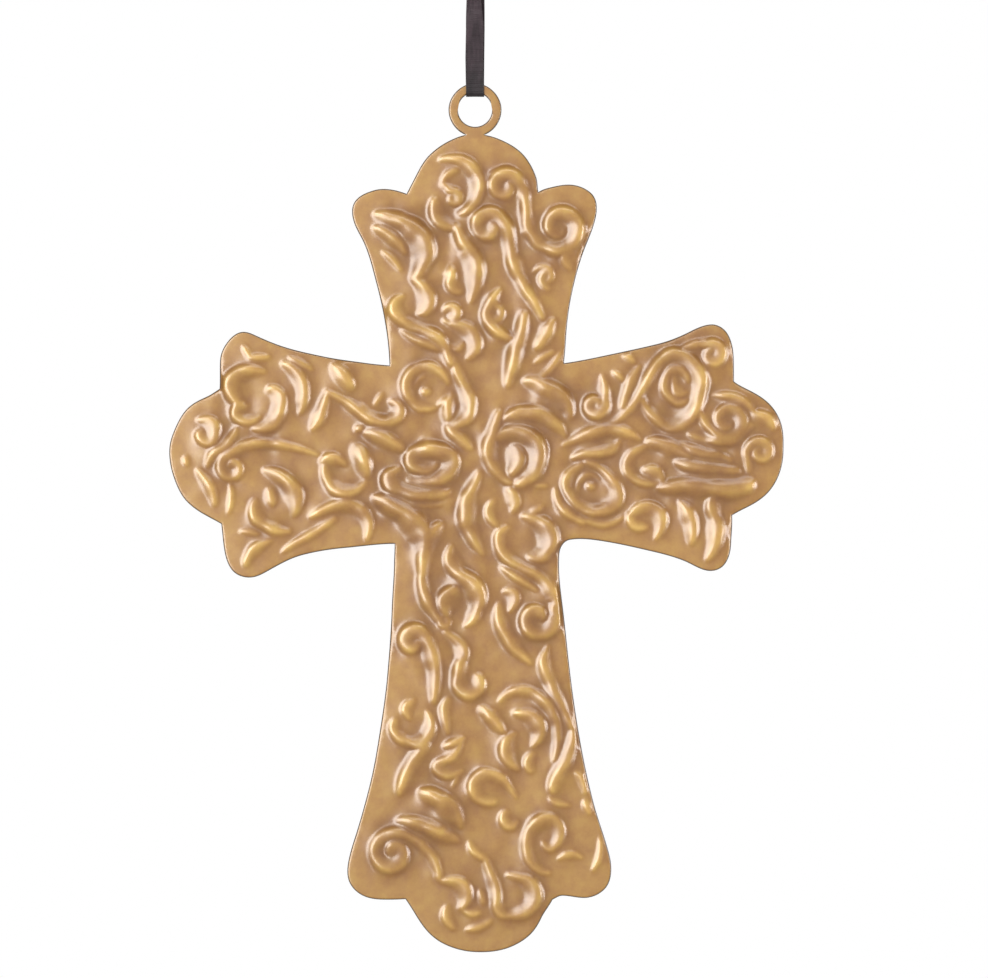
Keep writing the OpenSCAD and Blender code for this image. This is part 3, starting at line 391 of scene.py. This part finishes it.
def band_object(name, line, widths, thickness, shift=None, twist=None, upright=False):
    """A flat woven band along a line of [across, through, up] points in mm round the ring's centre.

    Its width lies across the view, moved across by shift and turned by twist. In an upright band,
    which wraps the strands, its width runs up and down.
    """
    line = np.array(line, float)
    tangent = np.gradient(line, axis=0)
    tangent /= np.linalg.norm(tangent, axis=1)[:, None]
    verts, faces = [], []
    count = len(BAND_PROFILE)
    for i, (p, t) in enumerate(zip(line, tangent)):
        turn = 0.0 if twist is None else twist[i]
        across = np.array([0, 0, 1.0] if upright else [math.cos(turn), math.sin(turn), 0.0])
        across -= t * across.dot(t)
        across /= np.linalg.norm(across)
        out = np.cross(across, t)
        centre = p + (np.array([shift[i], 0, 0]) if shift is not None else 0)
        for u, v in BAND_PROFILE:
            q = centre + across * u * widths[i] / 2 + out * v * thickness / 2
            verts.append((q[0] * MM, q[1] * MM, (q[2] + RING_Y - HANG) * MM))
    for i in range(len(line) - 1):
        for j in range(count):
            k = (j + 1) % count
            faces.append((i * count + j, i * count + k, (i + 1) * count + k, (i + 1) * count + j))
    faces.append(tuple(range(count - 1, -1, -1)))
    faces.append(tuple((len(line) - 1) * count + j for j in range(count)))
    return new_object(name, verts, faces)


route = smooth_line([[0.0, y, z] for y, z in ROUTE], ROUTE_STEP)
height = route[:, 2]
is_front = route[:, 1] < 0
roll = np.radians(np.where(is_front, np.interp(height, *ROLL_FRONT),
                           np.interp(height, *ROLL_BEHIND)))
drift = np.where(is_front, np.interp(height, *DRIFT_FRONT), np.interp(height, *DRIFT_BEHIND))
ribbon = band_object("ribbon_loop", route, np.full(len(route), RIBBON_W), RIBBON_T, drift, roll)


# ---------------------------------------------------------------- outline and scrolls

CURL_STEP = 8  # degrees of a curl between two points of its line
SPAN_STEPS = 16  # points of a scroll from one station to the next
FULLNESS = 0.6  # power of a scroll's swelling; a smaller one is fuller


def turned(a, b):
    """How far apart two headings are, from 0 to 180 degrees."""
    return abs((b - a + 540) % 360 - 180)


def towards(a):
    """The unit vector of a heading in degrees."""
    return np.array([math.cos(math.radians(a)), math.sin(math.radians(a))])


def span(p, a, q, b, n):
    """Smooth span from p, leaving on heading a, to q, arriving on heading b, without q itself."""
    half = math.radians(turned(a, b) / 2)
    # an arc's length over its chord, but no more than 1.6 where the turn is sharp
    pull = 1.0 if half < 0.025 else half / math.sin(half) if half < 1.35 else 1.6
    m = math.hypot(q[0] - p[0], q[1] - p[1]) * pull
    t = (np.arange(n) / n)[:, None]
    return ((2 * t ** 3 - 3 * t ** 2 + 1) * np.array(p) + (t ** 3 - 2 * t ** 2 + t) * m * towards(a)
            + (3 * t ** 2 - 2 * t ** 3) * np.array(q) + (t ** 3 - t ** 2) * m * towards(b))


def scroll_line(row):
    """Points of one scroll from its curl's eye, or its first station, to its last station."""
    curl, rest = row[1], [list(s) for s in row[2:]]
    parts = []
    if curl:
        cx, cy, r_out, angle, turn, r_eye = curl
        n = max(8, int(abs(turn) / CURL_STEP))
        f = (np.arange(n) / n)[:, None]
        around = np.radians(angle + turn * (1 - f))
        radius = r_eye + (r_out - r_eye) * f
        parts.append(np.hstack([cx + radius * np.cos(around), cy + radius * np.sin(around)]))
        side = math.radians(angle)
        rest.insert(0, [cx + r_out * math.cos(side), cy + r_out * math.sin(side),
                        angle - (90 if turn > 0 else -90)])
    for p, q in zip(rest, rest[1:]):
        parts.append(span(p[:2], p[-1], q[:2], q[2], SPAN_STEPS))
    parts.append(np.array([rest[-1][:2]]))
    return np.vstack(parts)


def evenly(points, step):
    """The same line with points a step apart, and how far along it each one is, from 0 to 1."""
    seg = np.linalg.norm(np.diff(points, axis=0), axis=1)
    along = np.concatenate([[0], np.cumsum(seg)])
    n = max(4, int(along[-1] / step) + 1)
    at = np.linspace(0, along[-1], n)
    xs, ys = (np.interp(at, along, points[:, i]) for i in (0, 1))
    return np.column_stack([xs, ys]), at / along[-1]


def width_along(w, t):
    """Width of a scroll from the three in its row, at parts t of its length from 0 to 1."""
    ends = w[0] + (w[2] - w[0]) * t
    return ends + (w[1] - ends) * np.clip(np.sin(np.pi * t), 0, None) ** FULLNESS


def edge_line(rows, step):
    """The closed outline through the rows, with points about a step apart."""
    parts = []
    for p, q in zip(rows, rows[1:] + rows[:1]):
        length = math.hypot(q[0] - p[0], q[1] - p[1])
        parts.append(span(p[:2], p[-1], q[:2], q[2], max(2, int(round(length / step)))))
    return np.vstack(parts)


# ---------------------------------------------------------------- height of the relief

CELL = 0.1  # in millimetres, as all below
LEFT_X, LOW_Y = -56.0, -90.0  # the grids' lower left corner in the drawing
COLS, ROWS = 1120, 1570


def cell_of(points):
    """Column and row of points of the drawing in the grids, with their fractions."""
    return (points[:, 0] - LEFT_X) / CELL, (points[:, 1] - LOW_Y) / CELL


def stamp(grid, x, y, reach, value):
    """Calls value(distance) on the cells within reach of a point and keeps the larger result."""
    c, r = (x - LEFT_X) / CELL, (y - LOW_Y) / CELL
    n = reach / CELL
    c0, c1, r0, r1 = int(c - n), int(c + n) + 2, int(r - n), int(r + n) + 2
    xs = (np.arange(c0, c1) - c) * CELL
    ys = (np.arange(r0, r1) - r) * CELL
    far = np.sqrt(xs[None, :] ** 2 + ys[:, None] ** 2)
    window = grid[r0:r1, c0:c1]
    np.maximum(window, value(far), out=window)


def blurred(grid, sigma):
    """Gaussian blur, sigma in millimetres."""
    fy = np.fft.fftfreq(grid.shape[0], CELL)[:, None]
    fx = np.fft.rfftfreq(grid.shape[1], CELL)[None, :]
    damp = np.exp(-2 * (math.pi * sigma) ** 2 * (fx ** 2 + fy ** 2))
    return np.fft.irfft2(np.fft.rfft2(grid) * damp, s=grid.shape)


def sampled(grid, points):
    """Bilinear samples of a grid at points of the drawing."""
    c, r = cell_of(points)
    c0 = np.clip(c.astype(int), 0, COLS - 2)
    r0 = np.clip(r.astype(int), 0, ROWS - 2)
    u, v = c - c0, r - r0
    return ((grid[r0, c0] * (1 - u) + grid[r0, c0 + 1] * u) * (1 - v)
            + (grid[r0 + 1, c0] * (1 - u) + grid[r0 + 1, c0 + 1] * u) * v)


RIB_STEP = 0.15
FULL_WIDTH = 2.8  # a scroll at least this wide stands at full height
HEIGHT_POWER = 0.8  # how the height of a narrower one falls with its width
CREST_POWER = 0.8  # a smaller power makes a broader crest
SPREAD = 1.45  # foot of a rib against the width in its row
LEAST_FOOT = 0.2  # half the foot of the thinnest rib
LEAN = 0.3  # how far a rib's crest leans to the outside of its bend, against half its foot
GENTLE = 0.9  # how much farther its foot runs out on the inside of a bend
BEND_GAIN = 1.8  # how soon a tighter bend gives the whole lean
BEND_WINDOW = 9  # points of its line that a bend is averaged over
CURL_FILL = 0.92  # share of the room between a curl's turns that its rib fills
CURL_BLEND = 1.5  # length over which that width gives way to the row's own
EYE_SHARE = 0.65  # share of that width at the eye, where the curl starts
EYE_RISE = 3.0  # length that would raise the share by one
NO_RIB = 9.0  # farther than any foot runs out


def rib_widths(row, part, length):
    """Width of a scroll along its line. In a curl it fills most of the room between the turns."""
    widths = width_along(row[0], part)
    curl = row[1]
    if curl:
        pitch = (curl[2] - curl[5]) / (abs(curl[4]) / 360)
        curl_length = math.radians(abs(curl[4])) * (curl[2] + curl[5]) / 2
        inside_curl = np.clip((curl_length - part * length) / CURL_BLEND + 0.5, 0, 1)
        from_eye = np.clip(EYE_SHARE + part * length / EYE_RISE, 0, 1)
        full = min(row[0][1], CURL_FILL * pitch) * from_eye
        widths = np.maximum(widths, full * inside_curl)
    return widths


def add_rib(grid, row):
    """Raises one scroll: a rounded rib that is steep on the outside of a bend, where its crest
    leans, and runs out gently on the inside. Where ribs meet, the higher one shows.
    """
    spots, part = evenly(scroll_line(row), RIB_STEP)
    step = np.gradient(spots, axis=0)
    length = np.linalg.norm(np.diff(spots, axis=0), axis=1).sum()
    step /= np.linalg.norm(step, axis=1)[:, None]
    heading = np.unwrap(np.arctan2(step[:, 1], step[:, 0]))
    bend = np.gradient(heading) / RIB_STEP
    box = np.ones(BEND_WINDOW) / BEND_WINDOW
    bend = np.convolve(np.pad(bend, BEND_WINDOW // 2, mode="edge"), box, mode="valid")
    widths = rib_widths(row, part, length)
    half = np.maximum(widths / 2 * SPREAD, LEAST_FOOT)
    curving = np.tanh(bend * half * BEND_GAIN)
    high = RELIEF_H * np.minimum(1.0, (widths / FULL_WIDTH) ** HEIGHT_POWER)
    col, line = cell_of(spots)
    reach = half.max() * (1 + GENTLE) / CELL + 2
    c0, c1 = int(col.min() - reach), int(col.max() + reach) + 1
    r0, r1 = int(line.min() - reach), int(line.max() + reach) + 1
    # what each cell takes from the line's nearest point
    ratio = np.full((r1 - r0, c1 - c0), NO_RIB)
    offset, bent, top = np.zeros_like(ratio), np.zeros_like(ratio), np.zeros_like(ratio)
    for i in range(len(spots)):
        n = half[i] * (1 + GENTLE) / CELL + 1
        a0, a1 = int(line[i] - n) - r0, int(line[i] + n) + 2 - r0
        b0, b1 = int(col[i] - n) - c0, int(col[i] + n) + 2 - c0
        dx = ((np.arange(b0, b1) + c0 - col[i]) * CELL)[None, :]
        dy = ((np.arange(a0, a1) + r0 - line[i]) * CELL)[:, None]
        far = np.sqrt(dx * dx + dy * dy) / half[i]
        closer = far < ratio[a0:a1, b0:b1]
        side = np.where(step[i, 0] * dy - step[i, 1] * dx > 0, 1.0, -1.0)
        ratio[a0:a1, b0:b1][closer] = far[closer]
        offset[a0:a1, b0:b1][closer] = (side * far)[closer]
        bent[a0:a1, b0:b1][closer] = curving[i]
        top[a0:a1, b0:b1][closer] = high[i]
    crest = -LEAN * bent
    left_foot = 1 + GENTLE * np.clip(bent, 0, 1)
    right_foot = 1 + GENTLE * np.clip(-bent, 0, 1)
    v = np.where(offset > crest, (offset - crest) / (left_foot - crest),
                 (crest - offset) / (right_foot + crest))
    rib = top * (0.5 + 0.5 * np.cos(math.pi * np.clip(v, 0, 1))) ** CREST_POWER
    np.maximum(grid[r0:r1, c0:c1], rib, out=grid[r0:r1, c0:c1])


relief = np.zeros((ROWS, COLS))
for row in TOP + CENTRE + LEFT + RIGHT + LOWER:
    add_rib(relief, row)

EDGE_POINTS = 0.42  # how far apart the outline's points are
HOLE_SIDES = 52
outline = edge_line(EDGE, EDGE_POINTS)
hole = np.array([[RING_HOLE_R * math.cos(a), RING_Y + RING_HOLE_R * math.sin(a)]
                 for a in 2 * math.pi * np.arange(HOLE_SIDES) / HOLE_SIDES])

# cells inside the outline, by counting its crossings along each row of cells
inside = np.zeros((ROWS, COLS), bool)
for loop in (outline, hole):
    a, b = loop, np.roll(loop, -1, axis=0)
    for r in range(ROWS):
        y = LOW_Y + r * CELL
        cut = (a[:, 1] <= y) != (b[:, 1] <= y)
        xs = a[cut, 0] + (y - a[cut, 1]) / (b[cut, 1] - a[cut, 1]) * (b[cut, 0] - a[cut, 0])
        for x in xs:
            inside[r, max(0, int(math.ceil((x - LEFT_X) / CELL))):] ^= True

# how near the edge each cell is: 1 on the edge itself, 0 from EDGE_REACH inwards
EDGE_REACH = 1.4
near_edge = np.zeros((ROWS, COLS))
for loop in (outline, hole):
    closed = np.vstack([loop, loop[:1]])
    for x, y in evenly(closed, 0.25)[0]:
        stamp(near_edge, x, y, EDGE_REACH, lambda d: 1 - d / EDGE_REACH)
edge_far = (1 - near_edge) * EDGE_REACH

FLAT_RIM = 0.3  # width of the flat strip along the edge
RIM_FADE = 0.5  # width over which the relief rises from it
fade = np.clip((edge_far - FLAT_RIM) / RIM_FADE, 0, 1)
relief = blurred(relief, 0.16) * fade * fade * (3 - 2 * fade)

# the ground among the scrolls is slightly uneven, and the flat sheet away from them is not
WAVE_SEED = 11
WAVE_SIGMA = 1.0
WAVE_H = 0.08
waves = blurred(np.random.default_rng(WAVE_SEED).standard_normal((ROWS, COLS)), WAVE_SIGMA)
waves *= np.clip(blurred(relief, 2.6) / 0.2, 0, 1) / waves.std()

# the scrolls stand on a soft swelling of the ground
front_height = 0.75 * relief + 0.3 * blurred(relief, 0.8) + 0.7 * blurred(relief, 1.9)
front_height += WAVE_H * waves * fade
hollow = np.clip(blurred(relief, 0.3) * 0.85 - 0.2 * blurred(relief, 1.1), -0.3, None)

# painted shade and highlight: how dark a place is painted, darker where it is lower than what lies
# round it, where shade falls among the scrolls, and lighter on the crests
PAINTED_SHADE_FLAT = 0.42  # on flat sheet
RING_SHADE = 0.08  # the ring is a little darker
# painted shade that follows the uneven ground, lighter on its rises and darker in its dips
WAVE_SHADE = 0.07
around_it = 0.9 * blurred(relief, 0.9) + 0.75 * blurred(relief, 2.4)
painted_shade = np.clip((around_it - relief) / RELIEF_H, -1, 1) + PAINTED_SHADE_FLAT - WAVE_SHADE * waves
painted_shade[int((RING_Y - RING_R - LOW_Y) / CELL):] += RING_SHADE


# ---------------------------------------------------------------- the plate's mesh


def inset(loop, by):
    """The loop moved inwards; loops run clockwise round metal, so inwards is to the right."""
    step = np.roll(loop, -1, axis=0) - np.roll(loop, 1, axis=0)
    step /= np.linalg.norm(step, axis=1)[:, None]
    return loop + np.column_stack([step[:, 1], -step[:, 0]]) * by


def fill_points(fine, coarse, margin, busy):
    """A staggered set of points inside the outline, fine where it is busy and coarse elsewhere."""
    out = []
    for spacing, wanted in ((fine, True), (coarse, False)):
        rise = spacing * math.sqrt(3) / 2
        ys = np.arange(LOW_Y + 1, LOW_Y + ROWS * CELL - 1, rise)
        xs = np.arange(LEFT_X + 1, LEFT_X + COLS * CELL - 1, spacing)
        odd_row = (np.arange(len(ys)) % 2)[:, None]
        gx = np.repeat(xs[None, :], len(ys), axis=0) + odd_row * spacing / 2
        gy = np.repeat(ys[:, None], len(xs), axis=1)
        pts = np.column_stack([gx.ravel(), gy.ravel()])
        c, r = (np.clip(np.round(v).astype(int), 0, m - 1)
                for v, m in zip(cell_of(pts), (COLS, ROWS)))
        keep = inside[r, c] & (edge_far[r, c] > margin) & (busy[r, c] == wanted)
        out.append(pts[keep])
    return np.vstack(out)


def sheet_of(loops, points):
    """Triangles over the loops' inside through all the points, the loops' own points first."""
    flat = np.vstack(loops + [points])
    edges, start = [], 0
    for loop in loops:
        n = len(loop)
        edges += [(start + i, start + (i + 1) % n) for i in range(n)]
        start += n
    # 2: only what the loops enclose; points nearer than 1e-7 are one
    verts, _, faces, _, _, _ = delaunay_2d_cdt(flat.tolist(), edges, [], 2, 1e-7)
    verts = np.array([tuple(v) for v in verts])
    middles = np.array([verts[list(f)].mean(axis=0) for f in faces])
    over_hole = np.hypot(middles[:, 0], middles[:, 1] - RING_Y) < RING_HOLE_R
    return verts, [f for f, out in zip(faces, over_hole) if not out]


BUSY_SLOPE = 0.05  # a steeper place is busy
slope = np.hypot(*np.gradient(blurred(relief, 0.2), CELL))
busy_places = blurred((slope > BUSY_SLOPE).astype(float), 0.35) > 0.12
# spacing of the points in busy places and elsewhere
FRONT_SPACING = (0.32, 0.7)
BACK_SPACING = (0.66, 1.0)
RIM_MARGIN = 0.2  # from the rims
EDGE_STEPS = [  # the rounded edge from front to back: [inset, towards the front, how dark it is painted]
    [0.45, 0.5, 0], [0.26, 0.49, 0], [0.13, 0.45, 0.8], [0.03, 0.33, 1], [0.0, 0.15, 1],
    [0.0, -0.25, 1], [0.06, -0.42, 0.6], [0.3, -0.5, 0]
]
loops = [outline, hole]
verts, faces = [], []


def add_face_side(rim_inset, depth_of, flip, spacing):
    """Adds the front or the back skin and returns the index of its first loop point."""
    rims = [inset(loop, rim_inset) for loop in loops]
    pts = fill_points(spacing[0], spacing[1], rim_inset + RIM_MARGIN, busy_places)
    flat, tris = sheet_of(rims, pts)
    base = len(verts)
    depth = depth_of(flat)
    for (x, y), d in zip(flat, depth):
        verts.append(place(x, y, d))
    for f in tris:
        a, b, c = flat[f[0]], flat[f[1]], flat[f[2]]
        left_turn = (b[0] - a[0]) * (c[1] - a[1]) - (b[1] - a[1]) * (c[0] - a[0]) > 0
        order = f if left_turn != flip else f[::-1]
        faces.append(tuple(base + i for i in order))
    return base


front_base = add_face_side(EDGE_STEPS[0][0], lambda p: SHEET_T / 2 + sampled(front_height, p),
                           False, FRONT_SPACING)
back_base = add_face_side(EDGE_STEPS[-1][0], lambda p: -SHEET_T / 2 + sampled(hollow, p),
                          True, BACK_SPACING)
edge_darkness = {}  # how dark a vertex of the edge is painted
first = 0
for loop in loops:
    n = len(loop)
    rings = [[front_base + first + i for i in range(n)]]
    for by, forward, edge_dark in EDGE_STEPS[1:-1]:
        ring = []
        for x, y in inset(loop, by):
            ring.append(len(verts))
            edge_darkness[len(verts)] = edge_dark
            verts.append(place(x, y, forward))
        rings.append(ring)
    rings.append([back_base + first + i for i in range(n)])
    for near, far in zip(rings, rings[1:]):
        for i in range(n):
            k = (i + 1) % n
            faces.append((near[i], near[k], far[k], far[i]))
    first += n

cross = new_object("cross_plate", verts, faces)
flat = np.array([[v.co.x / MM, v.co.z / MM + HANG] for v in cross.data.vertices])
# the vertices carry the painted shade and highlight of the relief, and how dark the cut edge is
# painted
for name, values in (("painted_shade", sampled(painted_shade, flat).astype(np.float32)),
                     ("edge_dark", [float(edge_darkness.get(i, 0)) for i in range(len(verts))])):
    attribute = cross.data.attributes.new(name, "FLOAT", "POINT")
    attribute.data.foreach_set("value", values)


# ---------------------------------------------------------------- knot and tails

# one and a fifth turns of the band round the strands, each turn outside the last
KNOT_Y = 29.4  # middle of the knot above the ring's centre
KNOT_STEPS = 44
KNOT_START, KNOT_TURN = math.radians(70), math.radians(430)
KNOT_ACROSS, KNOT_THROUGH = 1.75, 1.1  # half of its width and depth
KNOT_T = 0.4  # thickness of the pulled band
part = np.arange(KNOT_STEPS) / (KNOT_STEPS - 1)
around = KNOT_START + part * KNOT_TURN
grow = 0.88 + 0.16 * part
knot_line = np.column_stack([KNOT_ACROSS * grow * np.cos(around),
                             KNOT_THROUGH * grow * np.sin(around),
                             KNOT_Y + 0.5 * (part - 0.5) + 0.25 * np.cos(around)])
knot_widths = 2.6 + 0.5 * np.sin(math.pi * part)
knot = band_object("ribbon_knot", knot_line, knot_widths, KNOT_T, upright=True)

TAIL_W = 2.9
TAIL_STEP = 0.5
TAILS = [
    ("ribbon_tail_left",
     [[-0.5, -0.6, 29.6], [-1.6, -1.0, 32], [-3.2, -1.3, 35], [-3.7, -1.2, 37]]),
    ("ribbon_tail_right",
     [[0.5, 0.5, 29.6], [1.6, 0.9, 31.5], [2.7, 1.2, 34], [3.1, 1.1, 36]]),
]
tails = []
for name, points in TAILS:
    line = smooth_line(points, TAIL_STEP)
    tails.append(band_object(name, line, np.full(len(line), TAIL_W), RIBBON_T))


# ---------------------------------------------------------------- materials


def new_material(name):
    """A material with its nodes, its links and its shader."""
    material = bpy.data.materials.new(name)
    material.use_nodes = True
    nodes = material.node_tree.nodes
    return material, nodes, material.node_tree.links, nodes["Principled BSDF"]


def set_inputs(node, values):
    """Sets constants on a node's sockets, by their names."""
    for name, value in values.items():
        node.inputs[name].default_value = value


def noise(nodes, links, where, scale, detail, rough):
    """A noise texture over the positions that come in at where."""
    node = nodes.new("ShaderNodeTexNoise")
    set_inputs(node, {"Scale": scale, "Detail": detail, "Roughness": rough})
    links.new(where, node.inputs["Vector"])
    return node


def ramp(nodes, links, value, stops):
    """A colour ramp with stops of (position, colour)."""
    node = nodes.new("ShaderNodeValToRGB")
    links.new(value, node.inputs["Fac"])
    for i, (at, color) in enumerate(stops):
        stop = node.color_ramp.elements[i] if i < 2 else node.color_ramp.elements.new(at)
        stop.position = at
        stop.color = (*color, 1.0)
    return node


def remapped(nodes, links, value, ends):
    """A value moved from one range to another; ends holds the ends that are not 0 and 1."""
    node = nodes.new("ShaderNodeMapRange")
    links.new(value, node.inputs["Value"])
    set_inputs(node, ends)
    return node.outputs["Result"]


def bumped(nodes, links, height, strength, distance):
    """A bump node on a height, with its greatest depth in metres as the distance."""
    node = nodes.new("ShaderNodeBump")
    set_inputs(node, {"Strength": strength, "Distance": distance})
    links.new(height, node.inputs["Height"])
    return node


def scaled(nodes, links, where, scale):
    """Positions stretched along each axis, so that a noise over them is too."""
    node = nodes.new("ShaderNodeMapping")
    node.inputs["Scale"].default_value = scale
    links.new(where, node.inputs["Vector"])
    return node.outputs["Vector"]


def attribute_value(nodes, name):
    """The value of one of the mesh's own attributes."""
    node = nodes.new("ShaderNodeAttribute")
    node.attribute_name = name
    return node.outputs["Fac"]


def mixed(nodes, links, factor, a, b, mode="MIX"):
    """Two colours mixed; each input is a socket, a colour or a number."""
    node = nodes.new("ShaderNodeMix")
    node.data_type = "RGBA"
    node.blend_type = mode
    for socket, value in ((0, factor), (6, a), (7, b)):
        if hasattr(value, "is_linked"):
            links.new(value, node.inputs[socket])
        elif isinstance(value, tuple):
            node.inputs[socket].default_value = (*value, 1.0)
        else:
            node.inputs[socket].default_value = value
    return node.outputs[2]


# gold that is blotchy, darker and browner in the recesses and lighter on the crests, which is
# painted shade and painted highlight, and dark brown on the cut edge
BLOTCH_TINTS = [(0.32, (0.425, 0.196, 0.033)), (0.5, (0.477, 0.238, 0.041)),
                (0.68, (0.518, 0.282, 0.050))]
# painted shade in the recesses and painted highlight on the crests
PAINTED_SHADE_TONES = [(0.14, (1.48, 1.66, 2.05)), (0.4, (1.0, 0.98, 0.94)), (0.62, (0.75, 0.64, 0.44)),
                (0.84, (0.58, 0.46, 0.28))]
# the dark brown that the cut edge is painted
EDGE_DARK_COLOUR = (0.09, 0.055, 0.03)
gold, nodes, links, shader = new_material("gold_paint")
position = nodes.new("ShaderNodeTexCoord").outputs["Object"]
# the relief's painted shade and highlight
painted_shade_value = attribute_value(nodes, "painted_shade")
blotch = noise(nodes, links, position, 420.0, 4.0, 0.65)
grain = noise(nodes, links, position, 1500.0, 3.0, 0.6)
tint = ramp(nodes, links, blotch.outputs["Fac"], BLOTCH_TINTS)
tone = ramp(nodes, links, painted_shade_value, PAINTED_SHADE_TONES)
colour = mixed(nodes, links, 1.0, tint.outputs["Color"], tone.outputs["Color"], "MULTIPLY")
# the cut edge is painted dark brown and made a little more metallic
edge_dark_value = attribute_value(nodes, "edge_dark")
colour = mixed(nodes, links, edge_dark_value, colour, EDGE_DARK_COLOUR)
links.new(colour, shader.inputs["Base Color"])
set_inputs(shader, {"Coat Weight": 0.9, "Coat Roughness": 0.25, "Coat IOR": 1.85})
metallic = remapped(nodes, links, edge_dark_value, {"To Min": 0.15, "To Max": 0.2})
links.new(metallic, shader.inputs["Metallic"])
rough = remapped(nodes, links, grain.outputs["Fac"], {"To Min": 0.34, "To Max": 0.44})
links.new(rough, shader.inputs["Roughness"])
bump = bumped(nodes, links, grain.outputs["Fac"], 0.25, 0.00004)
links.new(bump.outputs["Normal"], shader.inputs["Normal"])
cross.data.materials.append(gold)

# black satin: a fine weave, slight folds along it, and a painted sheen that makes it paler towards
# its top and darker towards the bottom
black, nodes, links, shader = new_material("black_ribbon")
position = nodes.new("ShaderNodeTexCoord").outputs["Object"]
weave = nodes.new("ShaderNodeTexWave")
weave.bands_direction = "Z"
set_inputs(weave, {"Scale": 900.0, "Distortion": 1.5, "Detail": 1.0})
links.new(position, weave.inputs["Vector"])
cloud = noise(nodes, links, scaled(nodes, links, position, (3.0, 3.0, 0.5)), 420.0, 3.0, 0.6)
shade = ramp(nodes, links, cloud.outputs["Fac"],
             [(0.35, (0.016, 0.007, 0.010)), (0.7, (0.050, 0.028, 0.036))])
# painted sheen: the colour grows paler up the ribbon and darker towards the bottom
up = nodes.new("ShaderNodeSeparateXYZ")
links.new(position, up.inputs[0])
rise = remapped(nodes, links, up.outputs["Z"], {"From Min": -0.022, "From Max": -0.006})
pale = ramp(nodes, links, rise, [(0.0, (0.3,) * 3), (0.4, (0.95,) * 3), (1.0, (1.35,) * 3)])
colour = mixed(nodes, links, 1.0, shade.outputs["Color"], pale.outputs["Color"], "MULTIPLY")
links.new(colour, shader.inputs["Base Color"])
set_inputs(shader, {"Roughness": 0.5, "Sheen Weight": 0.12})
crinkle = noise(nodes, links, scaled(nodes, links, position, (0.5, 0.5, 2.2)), 380.0, 2.0, 0.5)
folds = bumped(nodes, links, crinkle.outputs["Fac"], 0.6, 0.0005)
bump = bumped(nodes, links, weave.outputs["Fac"], 0.35, 0.00006)
links.new(folds.outputs["Normal"], bump.inputs["Normal"])
links.new(bump.outputs["Normal"], shader.inputs["Normal"])
for piece in [ribbon, knot] + tails:
    piece.data.materials.append(black)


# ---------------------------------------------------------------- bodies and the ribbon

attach(cross, "root")
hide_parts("cross")
for piece in [ribbon, knot] + tails:
    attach(piece, "root")
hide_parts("ribbon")


# ---------------------------------------------------------------- studio

floor_data = bpy.data.meshes.new("floor")
FLOOR_Z = -0.215
FLOOR_R = 0.42
FLOOR_SIDES = 96
floor_points = [(FLOOR_R * math.cos(a), FLOOR_R * math.sin(a), FLOOR_Z)
                for a in 2 * math.pi * np.arange(FLOOR_SIDES) / FLOOR_SIDES]
floor_data.from_pydata(floor_points, [], [tuple(range(FLOOR_SIDES))])
floor = bpy.data.objects.new("floor", floor_data)
bpy.context.scene.collection.objects.link(floor)
pale, nodes, links, shader = new_material("pale_floor")
set_inputs(shader, {"Base Color": (0.82, 0.82, 0.82, 1), "Roughness": 0.8})
floor_data.materials.append(pale)

# the camera sees plain white, and the metal mirrors a room that is brightest behind the viewer
# and behind the cross: greys from straight towards the viewer to straight away
ROOM_GREYS = [(0.0, 0.64), (0.025, 0.53), (0.07, 0.42), (0.2, 0.23), (0.6, 0.16), (0.95, 0.7)]
world = bpy.data.worlds.new("studio")
bpy.context.scene.world = world
world.use_nodes = True
nodes, links = world.node_tree.nodes, world.node_tree.links
background = nodes["Background"]
seen = nodes.new("ShaderNodeLightPath")
direction = nodes.new("ShaderNodeSeparateXYZ")
links.new(nodes.new("ShaderNodeTexCoord").outputs["Generated"], direction.inputs[0])
backwards = remapped(nodes, links, direction.outputs["Y"], {"From Min": -1.0})
room = ramp(nodes, links, backwards, [(at, (grey,) * 3) for at, grey in ROOM_GREYS])
shown = mixed(nodes, links, seen.outputs["Is Camera Ray"], room.outputs["Color"], (1.0, 1.0, 1.0))
links.new(shown, background.inputs["Color"])
background.inputs["Strength"].default_value = 1.0


LAMPS_AIM = np.array([0, 0, -0.09])  # the middle of the cross


def softbox(name, place_at, size, power, colour=(1, 1, 1)):
    """A rectangular lamp, in metres and watts, that faces the middle of the cross."""
    data = bpy.data.lights.new(name, "AREA")
    data.shape = "RECTANGLE"
    data.size, data.size_y = size
    data.energy = power
    data.color = colour
    lamp = bpy.data.objects.new(name, data)
    bpy.context.scene.collection.objects.link(lamp)
    lamp.location = place_at
    aim = LAMPS_AIM - np.array(place_at)
    tilt = math.atan2(aim[2], math.hypot(aim[0], aim[1]))
    turn = math.atan2(aim[1], aim[0])
    lamp.rotation_euler = (math.pi / 2 + tilt, 0, turn - math.pi / 2)


softbox("key", (-0.72, -1.24, 0.06), (0.76, 1.0), 13.4, (0.965, 1.0, 0.99))
softbox("side", (0.72, -0.55, -0.1), (0.12, 0.55), 2.4)
softbox("top", (0.1, -0.75, 0.5), (0.7, 0.2), 1.2)
softbox("low", (0.1, -0.6, -0.62), (0.7, 0.14), 0.9)

bpy.context.scene.view_settings.view_transform = "Standard"
